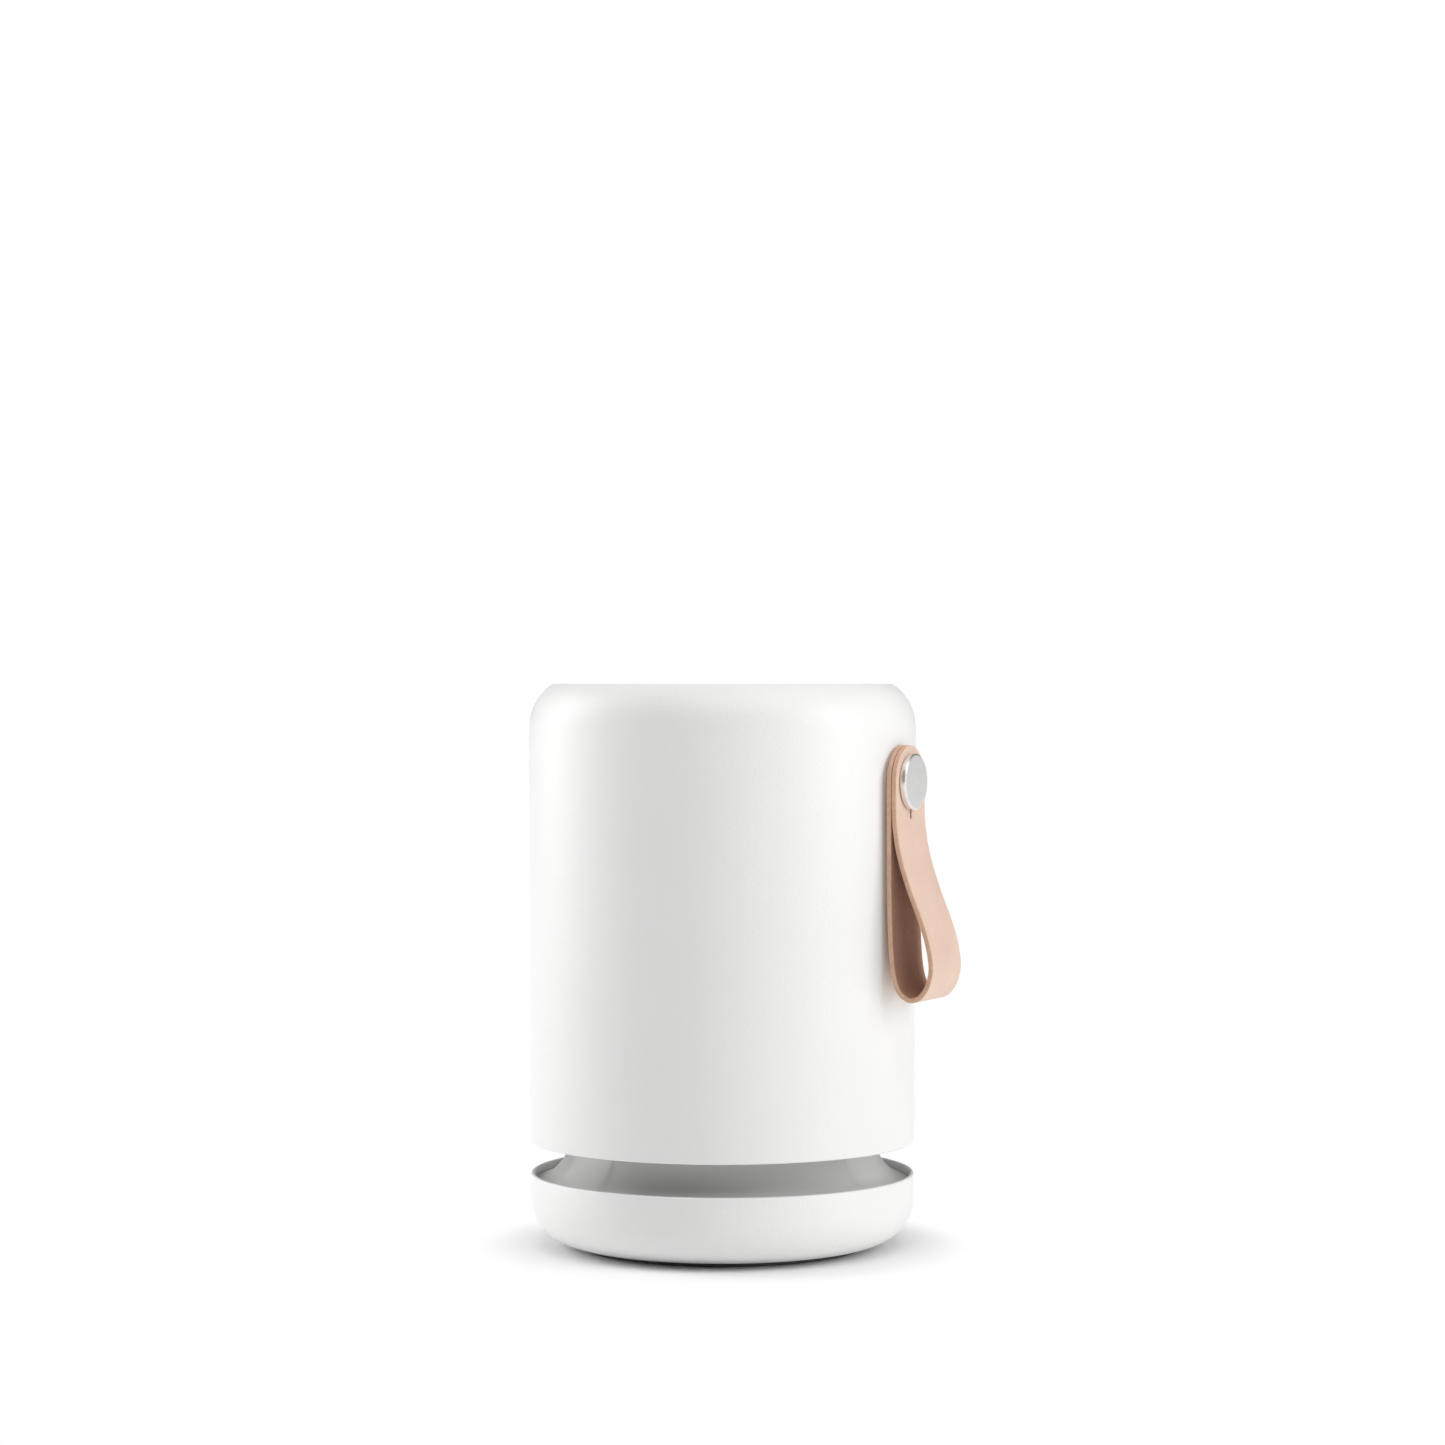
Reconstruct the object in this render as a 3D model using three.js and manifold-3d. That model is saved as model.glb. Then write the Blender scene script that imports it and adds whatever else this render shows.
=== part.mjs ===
// Compact cylindrical air purifier: a housing that lifts off a bowl-shaped base and its filter,
// with a fan and lamp inside, an outlet grille and one button on top, and a leather strap.
// Millimetres, +Z up. The origin is the centre of the foot pad's underside.
// The front faces -Y and the strap hangs at +X. An azimuth of 0 is the front, 90 is +X.
import * as THREE from "three";
import { mergeVertices } from "three/addons/utils/BufferGeometryUtils.js";
import Module from "manifold-3d";

const wasm = await Module();
wasm.setup();

// ---------------------------------------------------------------- driving dimensions
const GAP = 0.3; // clearance kept between neighbouring pieces
const ROUND = 40; // sides of the large shells
const MEDIUM = 28; // sides of pieces inside them
const SMALL = 14; // sides of small round pieces
const HOLE = 10; // sides of screw holes

const HOUSING_R = 105; // at the shoulder
const HOUSING_RIM_R = 104.35; // at the lower rim
const HOUSING_RIM_Z = 57.1;
const HOUSING_WALL = 2.5;
const TOP_Z = 305;
const SHOULDER_R = 28;
const SHOULDER_Z = 281.7; // height of the shoulder arc's centre
const TOP_OPENING_R = 89.5;
const LEDGE_R = 87; // the ledge that carries the outlet grille
const LEDGE_Z = 299;

const BOWL_R = 104;
const BOWL_RIM_Z = 40;
const BOWL_CORNER_R = 24;
const BOWL_WALL = 2.2;
const FOOT_R = 77.9;
const FOOT_H = 2.5; // height of the bowl's underside above the floor
const SCREW_HOLE_R = 1.8;
const BASE_SCREW = { at: 60, headTop: 5.6, length: 14, cupR: 6.5, cupTop: 9, bossR: 4.5 };

const FLARE = { r: 106.2, z: 58.2, radius: 22.7 }; // centre and radius of the intake cone's flare
const FLARE_END = 257.5; // degrees: where the flare meets the bowl's wall
const CONE_TOP_Z = 64;
const CONE_WALL = 2;
const LEG_AZIMUTHS = [90, 210, 330];
const SCREW_AZIMUTHS = [30, 150, 270];
const LEG_HALF_ANGLE = 13.5;
const LEG_PROUD = 1.5;
const LEG_R = 96; // reach of a leg's top block
const MAGNET = { r: 4, h: 2.7, at: 90 };

const FILTER_R = 79;
const FILTER_TOP_Z = 197;
const FILTER_BORE_R = 34;
const CAP = { bottom: 2, top: 4, skirt: 6, lip: 1.2 }; // thicknesses, and reach of the skirts
const CORE = { r: 37.5, wall: 1.5, slotWidth: 14, slotHeight: 50, slotInset: 36 };
const PLEATS = 36;
const SEAL = { r0: 44, r1: 56 };

const HOOP = { r0: 97.8, r1: 101.3, z0: 60, z1: 68 };
const PAD = { r0: 86, r1: 99, halfAngle: 12 };
const KEEPER_H = 2;

const DECK = { z: 201, h: 3, r: 101.2, hole: 34 };
const DECK_SCREW = { at: 97.5, length: 14 };
const BOSS = { r: 4, h: 18, rib: 5, bore: 12 };
const BRIDGE = { z: 258, h: 3, at: 82, width: 10, hubR: 24, bore: 13 };
const IMPELLER = { r: 62, eye: 38, z0: 208, z1: 242, blades: 12, hubR: 24, hubZ: 216, plate: 2 };
const VANE = { length: 25, thick: 1.6, turn: 40 };
const ROTOR = { r: 21.5, bore: 18.2, z1: 238 };
const SHAFT = { r: 2, z0: 214, z1: 256 };
const SHAFT_CLEARANCE = 0.1;
const TUBE = { r0: 5.3, r1: 7.2, z0: 222, z1: 260.5 };
const BEARING = { r: 5, h: 5, lower: 222.5, upper: 250 };
const STATOR = { teeth: 9, r: 17.4, slotR: 10, shoulderR: 16, bore: 7.5, z: 224, h: 12 };

const BRACKET = { hubR: 12, hubZ: 198, ringR: 29, spoke: 5 };
const COLUMN = { r: 13, z0: 84, z1: 197.7 }; // a six-sided extrusion
const STRIP = { width: 8, thick: 1.2, length: 96, z: 140 };

const GRILLE = { innerR: 38.8, midR: 61.25, rimR: 84.5, bottom: 292, rimTop: 303 };
const FIN = { count: 28, thick: 1.5 };
const TRAY = { r: 36, wall: 2, z0: 276, z1: 293.7, postR: 2.5, postAt: 24, leadHole: 2.6 };
const DISC = { z0: 294, z1: 298, edge: 0.5 };
const GROOVE = { r0: 11.7, r1: 14.3, z: 295.2 };
const LIGHT = { r0: 12, r1: 14, z: 295.5 };
const BOARD_DISC = { r: 31, z0: 284, z1: 285.6 };
const SWITCH = { width: 6, h: 2.6, z: 287.2 };
const BUTTON = { r: 8.7, top: 298.6, flange: 1.5, flangeZ: 292.4, stemR: 2, stemZ: 289.8 };

const STUD_Z = 253.1;
const STUD = { neck: 4.2, shank: 2.5, head: 15, back: 111.4, face: 114.8 };
const STRAP_WIDTH = 39;
const STRAP_THICK = 2.6;
const SLIT = { width: 2.3, length: 19.5, depth: 3.4, x: 110.4 };
const PLATE = { height: 26, width: 22, thick: 1.5, x: 100.4 };
const NUT = { r: 5, x0: 96, x1: 99.3 };
const SOCKET = { z: 78, r: 5.5, hole: 5.9, flange: 8, bore: 3.2, pinR: 0.9 };
const SOCKET_Y = { back: 90, bore: 94, flange0: 98.5, flange1: 101, pin: 103, face: 104.2 };
const SLEEVE = { power: 1.6, motor: 1.3, lamp: 1 }; // radii of the leads
const POWER_LEAD_AT = 96.5; // where it passes through the deck

// ---------------------------------------------------------------- materials
const finish = (color, roughness, metalness = 0) =>
  new THREE.MeshStandardMaterial({ color, roughness, metalness });

const WHITE = finish(0xf3f2f0, 0.55);
const GREY = finish(0xb4b4b3, 0.5);
const DARK_RUBBER = finish(0x3a3a3a, 0.9);
const BLACK_PLASTIC = finish(0x2a2a2c, 0.6);
const PALE_PLASTIC = finish(0xdcdcda, 0.6);
const STEEL = finish(0xb8bbbf, 0.35, 1);
const ALUMINIUM = finish(0xd6d6d4, 0.4, 1);
const BRASS = finish(0xc9a857, 0.35, 1);
const COPPER = finish(0xb4693a, 0.45, 0.8);
const PAPER = finish(0xeeece4, 0.95);
const FOAM = finish(0x55585c, 0.95);
const LEATHER = finish(0xe1c3af, 0.7);
const BOARD = finish(0x1f5c3a, 0.6);
const LENS = finish(0xe8f2f4, 0.3);

// ---------------------------------------------------------------- geometry helpers
const radians = THREE.MathUtils.degToRad;

// Points of an arc in the (r, z) plane, from one angle to another, both included.
function arc(r, z, radius, from, to, steps) {
  return Array.from({ length: steps + 1 }, (_, i) => {
    const a = radians(from + ((to - from) * i) / steps);
    return [r + radius * Math.cos(a), z + radius * Math.sin(a)];
  });
}

// A body of revolution about Z. The outline runs counter-clockwise in (r, z).
function turned(outline, sides = ROUND) {
  const points = outline.map(([r, z]) => new THREE.Vector2(r, z));
  const onAxis = points[0].x === 0 && points[points.length - 1].x === 0;
  if (!onAxis) points.push(points[0].clone());
  return new THREE.LatheGeometry(points, sides).rotateX(Math.PI / 2);
}

const ring = (r0, r1, z0, z1, sides) =>
  turned([[r0, z0], [r1, z0], [r1, z1], [r0, z1]], sides);

const disc = (r, z0, z1, sides) => turned([[0, z0], [r, z0], [r, z1], [0, z1]], sides);

// A prism along Z from a list of [x, y] corners.
function prism(corners, z0, z1) {
  const shape = new THREE.Shape(corners.map(([x, y]) => new THREE.Vector2(x, y)));
  const options = { depth: z1 - z0, bevelEnabled: false };
  return new THREE.ExtrudeGeometry(shape, options).translate(0, 0, z0);
}

// A box that runs outwards along -Y, from radius r0 to r1, turned to its azimuth.
function bar(r0, r1, width, z0, z1, azimuth) {
  const box = new THREE.BoxGeometry(width, r1 - r0, z1 - z0);
  box.translate(0, -(r0 + r1) / 2, (z0 + z1) / 2);
  return box.rotateZ(radians(azimuth));
}

// A wedge of space about Z that keeps only the given half angle either side of an azimuth.
function wedge(azimuth, half, reach, z0, z1) {
  const edge = reach / Math.cos(radians(half));
  const side = edge * Math.sin(radians(half));
  return prism([[0, 0], [-side, -reach], [side, -reach]], z0, z1).rotateZ(radians(azimuth));
}

const polar = (r, azimuth, z = 0) =>
  new THREE.Vector3(r * Math.sin(radians(azimuth)), -r * Math.cos(radians(azimuth)), z);

// The same geometry moved to a radius and an azimuth.
function moved(geometry, r, azimuth) {
  const place = polar(r, azimuth);
  return geometry.clone().translate(place.x, place.y, 0);
}

function solid(geometry) {
  const bare = geometry.clone();
  bare.deleteAttribute("normal");
  bare.deleteAttribute("uv");
  const merged = mergeVertices(bare, 1e-3);
  const vertProperties = merged.attributes.position.array;
  const triVerts = new Uint32Array(merged.index.array);
  return new wasm.Manifold(new wasm.Mesh({ numProp: 3, vertProperties, triVerts }));
}

const join = (first, ...others) => others.reduce((a, b) => a.add(solid(b)), solid(first));
const cut = (body, ...tools) => tools.reduce((a, b) => a.subtract(solid(b)), body);

function surface(body) {
  const made = body.getMesh();
  const geometry = new THREE.BufferGeometry();
  geometry.setAttribute("position", new THREE.BufferAttribute(made.vertProperties, 3));
  geometry.setIndex(new THREE.BufferAttribute(made.triVerts, 1));
  return geometry;
}

// A round lead along a smooth curve through the given points.
function lead(points, radius, steps) {
  const route = new THREE.CatmullRomCurve3(points, false, "centripetal");
  const corners = Array.from({ length: 6 }, (_, i) => {
    const a = (i * Math.PI) / 3;
    return new THREE.Vector2(radius * Math.cos(a), radius * Math.sin(a));
  });
  const options = { steps, extrudePath: route, bevelEnabled: false };
  return new THREE.ExtrudeGeometry(new THREE.Shape(corners), options);
}

function piece(group, name, geometry, material) {
  const shape = geometry instanceof wasm.Manifold ? surface(geometry) : geometry;
  const mesh = new THREE.Mesh(shape, material);
  mesh.name = name;
  group.add(mesh);
  return mesh;
}

// One copy of a piece at each azimuth, numbered from 1.
function copies(group, name, geometry, material, r, azimuths) {
  azimuths.forEach((azimuth, i) => {
    const mesh = piece(group, `${name}_${i + 1}`, geometry, material);
    mesh.position.copy(polar(r, azimuth));
    mesh.rotation.z = radians(azimuth);
  });
}

// A pan-head screw that points up, with the underside of its head's flange at z.
function screw(z, length) {
  const head = { r: 3.2, h: 2 };
  const outline = [[0, z - head.h], [head.r, z - head.h], [head.r, z], [1.5, z]];
  return turned([...outline, [1.5, z + length], [0, z + length]], HOLE);
}

// ---------------------------------------------------------------- base
const base = new THREE.Group();

function bowl() {
  const floorR = BOWL_R - BOWL_CORNER_R;
  const cornerZ = FOOT_H + BOWL_CORNER_R;
  const inside = BOWL_CORNER_R - BOWL_WALL;
  const shell = turned([
    [0, FOOT_H],
    ...arc(floorR, cornerZ, BOWL_CORNER_R, -90, 0, 6),
    [BOWL_R, BOWL_RIM_Z - 0.6],
    [BOWL_R - 0.6, BOWL_RIM_Z],
    [BOWL_R - BOWL_WALL, BOWL_RIM_Z],
    ...arc(floorR, cornerZ, inside, 0, -90, 4),
    [0, FOOT_H + BOWL_WALL],
  ]);
  const cups = SCREW_AZIMUTHS.map((a) => {
    return moved(disc(BASE_SCREW.cupR, FOOT_H + 1, BASE_SCREW.cupTop, SMALL), BASE_SCREW.at, a);
  });
  const pocket = disc(4, 0, BASE_SCREW.headTop + GAP, SMALL);
  const hole = disc(2, BASE_SCREW.headTop - 1, BASE_SCREW.cupTop + 1, HOLE);
  const pockets = SCREW_AZIMUTHS.map((a) => moved(pocket, BASE_SCREW.at, a));
  const holes = SCREW_AZIMUTHS.map((a) => moved(hole, BASE_SCREW.at, a));
  return cut(join(shell, ...cups), ...pockets, ...holes);
}

// A leg follows the flare, a little proud of it, and ends in a block under the housing.
function leg(azimuth) {
  const { r, z, radius } = FLARE;
  const outline = [
    ...arc(r, z, radius + CONE_WALL / 2, 180, 250, 4),
    ...arc(r, z, radius - LEG_PROUD, 250, 190, 5),
    [LEG_R - 7, HOUSING_RIM_Z + 0.6],
    [LEG_R, HOUSING_RIM_Z + 1.6],
    [LEG_R, CONE_TOP_Z],
    [r - radius - CONE_WALL / 2, CONE_TOP_Z],
  ];
  const whole = solid(turned(outline));
  return whole.intersect(solid(wedge(azimuth, LEG_HALF_ANGLE, 130, 20, 80)));
}

function cone() {
  const { r, z, radius } = FLARE;
  const wallR = r - radius;
  const skin = turned([
    [0, CONE_TOP_Z - CONE_WALL],
    [wallR - CONE_WALL, CONE_TOP_Z - CONE_WALL],
    ...arc(r, z, radius + CONE_WALL, 180, FLARE_END, 4),
    ...arc(r, z, radius, FLARE_END, 180, 6),
    [wallR, CONE_TOP_Z - 1.5],
    [wallR - 1.5, CONE_TOP_Z],
    [0, CONE_TOP_Z],
  ]);
  const bossZ = BASE_SCREW.cupTop + GAP;
  const boss = disc(BASE_SCREW.bossR, bossZ, CONE_TOP_Z - 1, SMALL);
  const hole = disc(SCREW_HOLE_R, bossZ - 1, BASE_SCREW.headTop + BASE_SCREW.length + 2.4, HOLE);
  const bosses = SCREW_AZIMUTHS.map((a) => moved(boss, BASE_SCREW.at, a));
  const holes = SCREW_AZIMUTHS.map((a) => moved(hole, BASE_SCREW.at, a));
  const pockets = LEG_AZIMUTHS.map((a) => {
    const pocket = disc(MAGNET.r + GAP, CONE_TOP_Z - MAGNET.h - 2 * GAP, CONE_TOP_Z + 1, SMALL);
    return moved(pocket, MAGNET.at, a);
  });
  const body = LEG_AZIMUTHS.reduce((sum, a) => sum.add(leg(a)), join(skin, ...bosses));
  return cut(body, ...holes, ...pockets);
}

piece(base, "foot_pad", disc(FOOT_R, 0, FOOT_H - GAP), DARK_RUBBER);
piece(base, "base_bowl", bowl(), WHITE);
piece(base, "intake_cone", cone(), GREY);
const baseScrew = screw(BASE_SCREW.headTop, BASE_SCREW.length);
copies(base, "base_screw", baseScrew, STEEL, BASE_SCREW.at, SCREW_AZIMUTHS);
const magnetZ = CONE_TOP_Z - GAP;
const magnet = disc(MAGNET.r, magnetZ - MAGNET.h, magnetZ, SMALL);
copies(base, "hold_magnet", magnet, STEEL, MAGNET.at, LEG_AZIMUTHS);

// ---------------------------------------------------------------- filter cartridge
const filter = new THREE.Group();
const FILTER_Z = CONE_TOP_Z + GAP;
const MEDIA_Z = FILTER_Z + CAP.bottom + GAP;
const MEDIA_TOP_Z = FILTER_TOP_Z - CAP.top - GAP;

function pleatedMedia() {
  const shape = new THREE.Shape();
  for (let i = 0; i < PLEATS * 2; i++) {
    const a = (i * Math.PI) / PLEATS;
    const r = i % 2 ? FILTER_R - 6 : FILTER_R - 2;
    shape[i ? "lineTo" : "moveTo"](r * Math.cos(a), r * Math.sin(a));
  }
  shape.closePath();
  const bore = new THREE.Path();
  bore.absarc(0, 0, CORE.r + 1.5, 0, 2 * Math.PI, true);
  shape.holes.push(bore);
  const options = { depth: MEDIA_TOP_Z - MEDIA_Z, bevelEnabled: false, curveSegments: 18 };
  return new THREE.ExtrudeGeometry(shape, options).translate(0, 0, MEDIA_Z);
}

function filterCore() {
  const tube = solid(ring(CORE.r - CORE.wall, CORE.r, MEDIA_Z, MEDIA_TOP_Z, 24));
  const slots = [MEDIA_Z + CORE.slotInset, MEDIA_TOP_Z - CORE.slotInset].flatMap((z) =>
    [0, 60, 120].map((turn) => {
      const box = new THREE.BoxGeometry(CORE.slotWidth, 3 * CORE.r, CORE.slotHeight);
      return box.translate(0, 0, z).rotateZ(radians(turn));
    }),
  );
  return cut(tube, ...slots);
}

const capLip = FILTER_R - CAP.lip;
const topSkirtZ = FILTER_TOP_Z - CAP.top - 4;
piece(
  filter,
  "filter_bottom_cap",
  turned([
    [0, FILTER_Z],
    [FILTER_R, FILTER_Z],
    [FILTER_R, FILTER_Z + CAP.skirt],
    [capLip, FILTER_Z + CAP.skirt],
    [capLip, FILTER_Z + CAP.bottom],
    [0, FILTER_Z + CAP.bottom],
  ], MEDIUM),
  PALE_PLASTIC,
);
piece(filter, "filter_media", pleatedMedia(), PAPER);
piece(filter, "filter_core", filterCore(), PALE_PLASTIC);
piece(
  filter,
  "filter_top_cap",
  turned([
    [FILTER_BORE_R, FILTER_TOP_Z - CAP.top],
    [capLip, FILTER_TOP_Z - CAP.top],
    [capLip, topSkirtZ],
    [FILTER_R, topSkirtZ],
    [FILTER_R, FILTER_TOP_Z],
    [FILTER_BORE_R, FILTER_TOP_Z],
  ], MEDIUM),
  PALE_PLASTIC,
);
const seal = ring(SEAL.r0, SEAL.r1, FILTER_TOP_Z + GAP, DECK.z - GAP, MEDIUM);
piece(filter, "filter_seal", seal, FOAM);

// ---------------------------------------------------------------- housing
const housing = new THREE.Group();

function shell() {
  const shoulderAt = HOUSING_R - SHOULDER_R;
  const topAngle = THREE.MathUtils.radToDeg(Math.asin((TOP_Z - SHOULDER_Z) / SHOULDER_R));
  const insideR = SHOULDER_R - HOUSING_WALL;
  const collarR = TOP_OPENING_R + 2;
  const collarAngle = THREE.MathUtils.radToDeg(Math.acos((collarR - shoulderAt) / insideR));
  const skin = turned([
    [HOUSING_RIM_R - HOUSING_WALL, HOUSING_RIM_Z],
    [HOUSING_RIM_R - 0.8, HOUSING_RIM_Z],
    [HOUSING_RIM_R, HOUSING_RIM_Z + 0.8],
    ...arc(shoulderAt, SHOULDER_Z, SHOULDER_R, 0, topAngle, 5),
    [TOP_OPENING_R, TOP_Z],
    [TOP_OPENING_R, LEDGE_Z],
    [LEDGE_R, LEDGE_Z],
    [LEDGE_R, LEDGE_Z - 2.5],
    [collarR, LEDGE_Z - 2.5],
    ...arc(shoulderAt, SHOULDER_Z, insideR, collarAngle, 0, 3),
  ]);
  const bossZ = DECK.z + DECK.h + GAP;
  const bossTop = bossZ + BOSS.h;
  const boss = disc(BOSS.r, bossZ, bossTop, SMALL);
  const hole = disc(SCREW_HOLE_R, bossZ - 1, bossZ + BOSS.bore, HOLE);
  const wallMiddle = HOUSING_R - 1.6;
  const bosses = SCREW_AZIMUTHS.map((a) => moved(boss, DECK_SCREW.at, a));
  const holes = SCREW_AZIMUTHS.map((a) => moved(hole, DECK_SCREW.at, a));
  const ribs = SCREW_AZIMUTHS.map((a) => bar(DECK_SCREW.at, wallMiddle, BOSS.rib, bossZ, bossTop, a));
  const studHole = disc(STUD.shank + 0.4, 95, 110, SMALL).rotateY(Math.PI / 2);
  const socketHole = disc(SOCKET.hole, 95, 110, SMALL).rotateX(-Math.PI / 2);
  return cut(
    join(skin, ...bosses, ...ribs),
    ...holes,
    studHole.translate(0, 0, STUD_Z),
    socketHole.translate(0, 0, SOCKET.z),
  );
}

// A hoop bonded inside the lower rim, with three pads that stand on the legs.
function seatRing() {
  const padZ = CONE_TOP_Z + GAP;
  const hoop = ring(HOOP.r0, HOOP.r1, HOOP.z0, HOOP.z1);
  const pads = LEG_AZIMUTHS.map((a) => {
    const whole = solid(ring(PAD.r0, PAD.r1, padZ, HOOP.z1));
    return whole.intersect(solid(wedge(a, PAD.halfAngle, 130, HOOP.z0, HOOP.z1 + 2)));
  });
  const pockets = LEG_AZIMUTHS.map((a) => {
    return moved(disc(MAGNET.r + GAP, padZ - 1, padZ + KEEPER_H + 2 * GAP, SMALL), MAGNET.at, a);
  });
  return cut(pads.reduce((sum, pad) => sum.add(pad), solid(hoop)), ...pockets);
}

const keeperZ = CONE_TOP_Z + 2 * GAP;
const keeper = disc(MAGNET.r, keeperZ, keeperZ + KEEPER_H, SMALL);
piece(housing, "housing_shell", shell(), WHITE);
piece(housing, "seat_ring", seatRing(), PALE_PLASTIC);
copies(housing, "keeper_disc", keeper, STEEL, MAGNET.at, LEG_AZIMUTHS);

// ---------------------------------------------------------------- fan deck and motor bridge
function fanDeck() {
  const plate = solid(ring(DECK.hole, DECK.r, DECK.z, DECK.z + DECK.h));
  const hole = (r) => disc(r, DECK.z - 1, DECK.z + DECK.h + 1, HOLE);
  const screwHoles = SCREW_AZIMUTHS.map((a) => moved(hole(SCREW_HOLE_R), DECK_SCREW.at, a));
  const bridgeHoles = LEG_AZIMUTHS.map((a) => moved(hole(SCREW_HOLE_R), BRIDGE.at, a));
  return cut(plate, ...screwHoles, ...bridgeHoles, moved(hole(3), POWER_LEAD_AT, 180));
}

function motorBridge() {
  const { z, h, at, width } = BRIDGE;
  const footZ = DECK.z + DECK.h + GAP;
  const hole = disc(SCREW_HOLE_R, footZ - 1, footZ + BRIDGE.bore, HOLE);
  const arms = LEG_AZIMUTHS.map((a) => bar(15, at + 4, width, z, z + h, a));
  const columns = LEG_AZIMUTHS.map((a) => bar(at - 4, at + 4, width, footZ, z + 1, a));
  const holes = LEG_AZIMUTHS.map((a) => moved(hole, at, a));
  const body = join(disc(BRIDGE.hubR, z, z + h, MEDIUM), ...arms, ...columns);
  return cut(body, ...holes, disc(TUBE.r1 + 0.4, z - 1, z + h + 1, SMALL));
}

const screwZ = DECK.z - GAP;
piece(housing, "fan_deck", fanDeck(), PALE_PLASTIC);
const innerScrew = screw(screwZ, DECK_SCREW.length);
copies(housing, "deck_screw", innerScrew, STEEL, DECK_SCREW.at, SCREW_AZIMUTHS);
piece(housing, "motor_bridge", motorBridge(), PALE_PLASTIC);
copies(housing, "bridge_screw", innerScrew, STEEL, BRIDGE.at, LEG_AZIMUTHS);

// ---------------------------------------------------------------- motor
function stator() {
  const { teeth, r, slotR, shoulderR } = STATOR;
  const tooth = [[slotR, -14], [shoulderR, -14], [r, -16], [r, 0], [r, 16], [shoulderR, 14], [slotR, 14]];
  const corners = Array.from({ length: teeth }, (_, i) =>
    tooth.map(([reach, turn]) => {
      const a = radians((i * 360) / teeth + turn);
      return new THREE.Vector2(reach * Math.cos(a), reach * Math.sin(a));
    }),
  );
  const shape = new THREE.Shape(corners.flat());
  const bore = new THREE.Path();
  bore.absarc(0, 0, STATOR.bore, 0, 2 * Math.PI, true);
  shape.holes.push(bore);
  const options = { depth: STATOR.h, bevelEnabled: false, curveSegments: 18 };
  return new THREE.ExtrudeGeometry(shape, options).translate(0, 0, STATOR.z);
}

const bearing = (z) => ring(SHAFT.r + 0.08, BEARING.r, z, z + BEARING.h, SMALL);
piece(housing, "bearing_tube", ring(TUBE.r0, TUBE.r1, TUBE.z0, TUBE.z1, SMALL), BRASS);
piece(housing, "lower_bearing", bearing(BEARING.lower), STEEL);
piece(housing, "upper_bearing", bearing(BEARING.upper), STEEL);
piece(housing, "stator", stator(), COPPER);

const rotating = new THREE.Group();

function impeller() {
  const { r, eye, z0, z1, blades, hubR, hubZ, plate } = IMPELLER;
  const hub = turned([
    [SHAFT.r + SHAFT_CLEARANCE, hubZ],
    [hubR, hubZ],
    [hubR, z1 - plate],
    [r, z1 - plate],
    [r, z1],
    [hubR - plate, z1],
    [hubR - plate, hubZ + plate],
    [SHAFT.r + SHAFT_CLEARANCE, hubZ + plate],
  ], MEDIUM);
  const vanes = Array.from({ length: blades }, (_, i) => {
    const vane = new THREE.BoxGeometry(VANE.length, VANE.thick, z1 - z0 - 2).rotateZ(radians(VANE.turn));
    vane.translate((r + eye) / 2, 0, (z0 + z1) / 2);
    return vane.rotateZ((2 * Math.PI * i) / blades);
  });
  return join(hub, ring(eye, r, z0, z0 + 1.8, MEDIUM), ...vanes);
}

piece(rotating, "impeller", impeller(), BLACK_PLASTIC);
const canZ = IMPELLER.hubZ + IMPELLER.plate + GAP;
piece(
  rotating,
  "rotor_can",
  turned([
    [SHAFT.r + SHAFT_CLEARANCE, canZ],
    [ROTOR.r, canZ],
    [ROTOR.r, ROTOR.z1],
    [ROTOR.bore, ROTOR.z1],
    [ROTOR.bore, canZ + 2],
    [SHAFT.r + SHAFT_CLEARANCE, canZ + 2],
  ], MEDIUM),
  STEEL,
);
piece(rotating, "motor_shaft", disc(SHAFT.r, SHAFT.z0, SHAFT.z1, SMALL), STEEL);

// ---------------------------------------------------------------- lamp
function lampBracket() {
  const { hubR, hubZ, ringR, spoke } = BRACKET;
  const z0 = DECK.z + GAP;
  const z1 = DECK.z + DECK.h;
  const spokes = LEG_AZIMUTHS.map((a) => bar(hubR - 4, ringR + 2, spoke, z0, z1, a));
  const outer = ring(ringR, DECK.hole - 2 * GAP, z0, z1, MEDIUM);
  return join(outer, disc(hubR, hubZ, z1, SMALL), ...spokes);
}

const columnFlat = COLUMN.r * Math.cos(Math.PI / 6);
const strip = new THREE.BoxGeometry(STRIP.width, STRIP.thick, STRIP.length);
strip.translate(0, -GAP - STRIP.thick / 2, STRIP.z);
piece(housing, "lamp_bracket", lampBracket(), PALE_PLASTIC);
piece(housing, "lamp_column", disc(COLUMN.r, COLUMN.z0, COLUMN.z1, 6), ALUMINIUM);
copies(housing, "lamp_strip", strip, LENS, columnFlat, LEG_AZIMUTHS);

// ---------------------------------------------------------------- outlet grille and controls
function outletGrille() {
  const { innerR, midR, rimR, bottom, rimTop } = GRILLE;
  const rimZ = LEDGE_Z + GAP;
  const fin = (i) => {
    const foot = innerR - 1.3;
    const corners = [[foot, bottom], [rimR + 1, rimZ + 0.2], [rimR + 1, rimTop - 0.4], [foot, DISC.z1]];
    const side = prism(corners, -FIN.thick / 2, FIN.thick / 2);
    return side.rotateX(Math.PI / 2).rotateZ((2 * Math.PI * (i + 0.5)) / FIN.count);
  };
  const fins = Array.from({ length: FIN.count }, (_, i) => fin(i));
  const rim = ring(rimR, TOP_OPENING_R - GAP, rimZ, rimTop, FIN.count);
  const middle = ring(midR - 0.75, midR + 0.75, 296, 299.5, FIN.count);
  const inner = ring(TRAY.r + 2 * GAP, innerR, bottom - 2, DISC.z1, FIN.count);
  return join(rim, inner, middle, ...fins);
}

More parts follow.
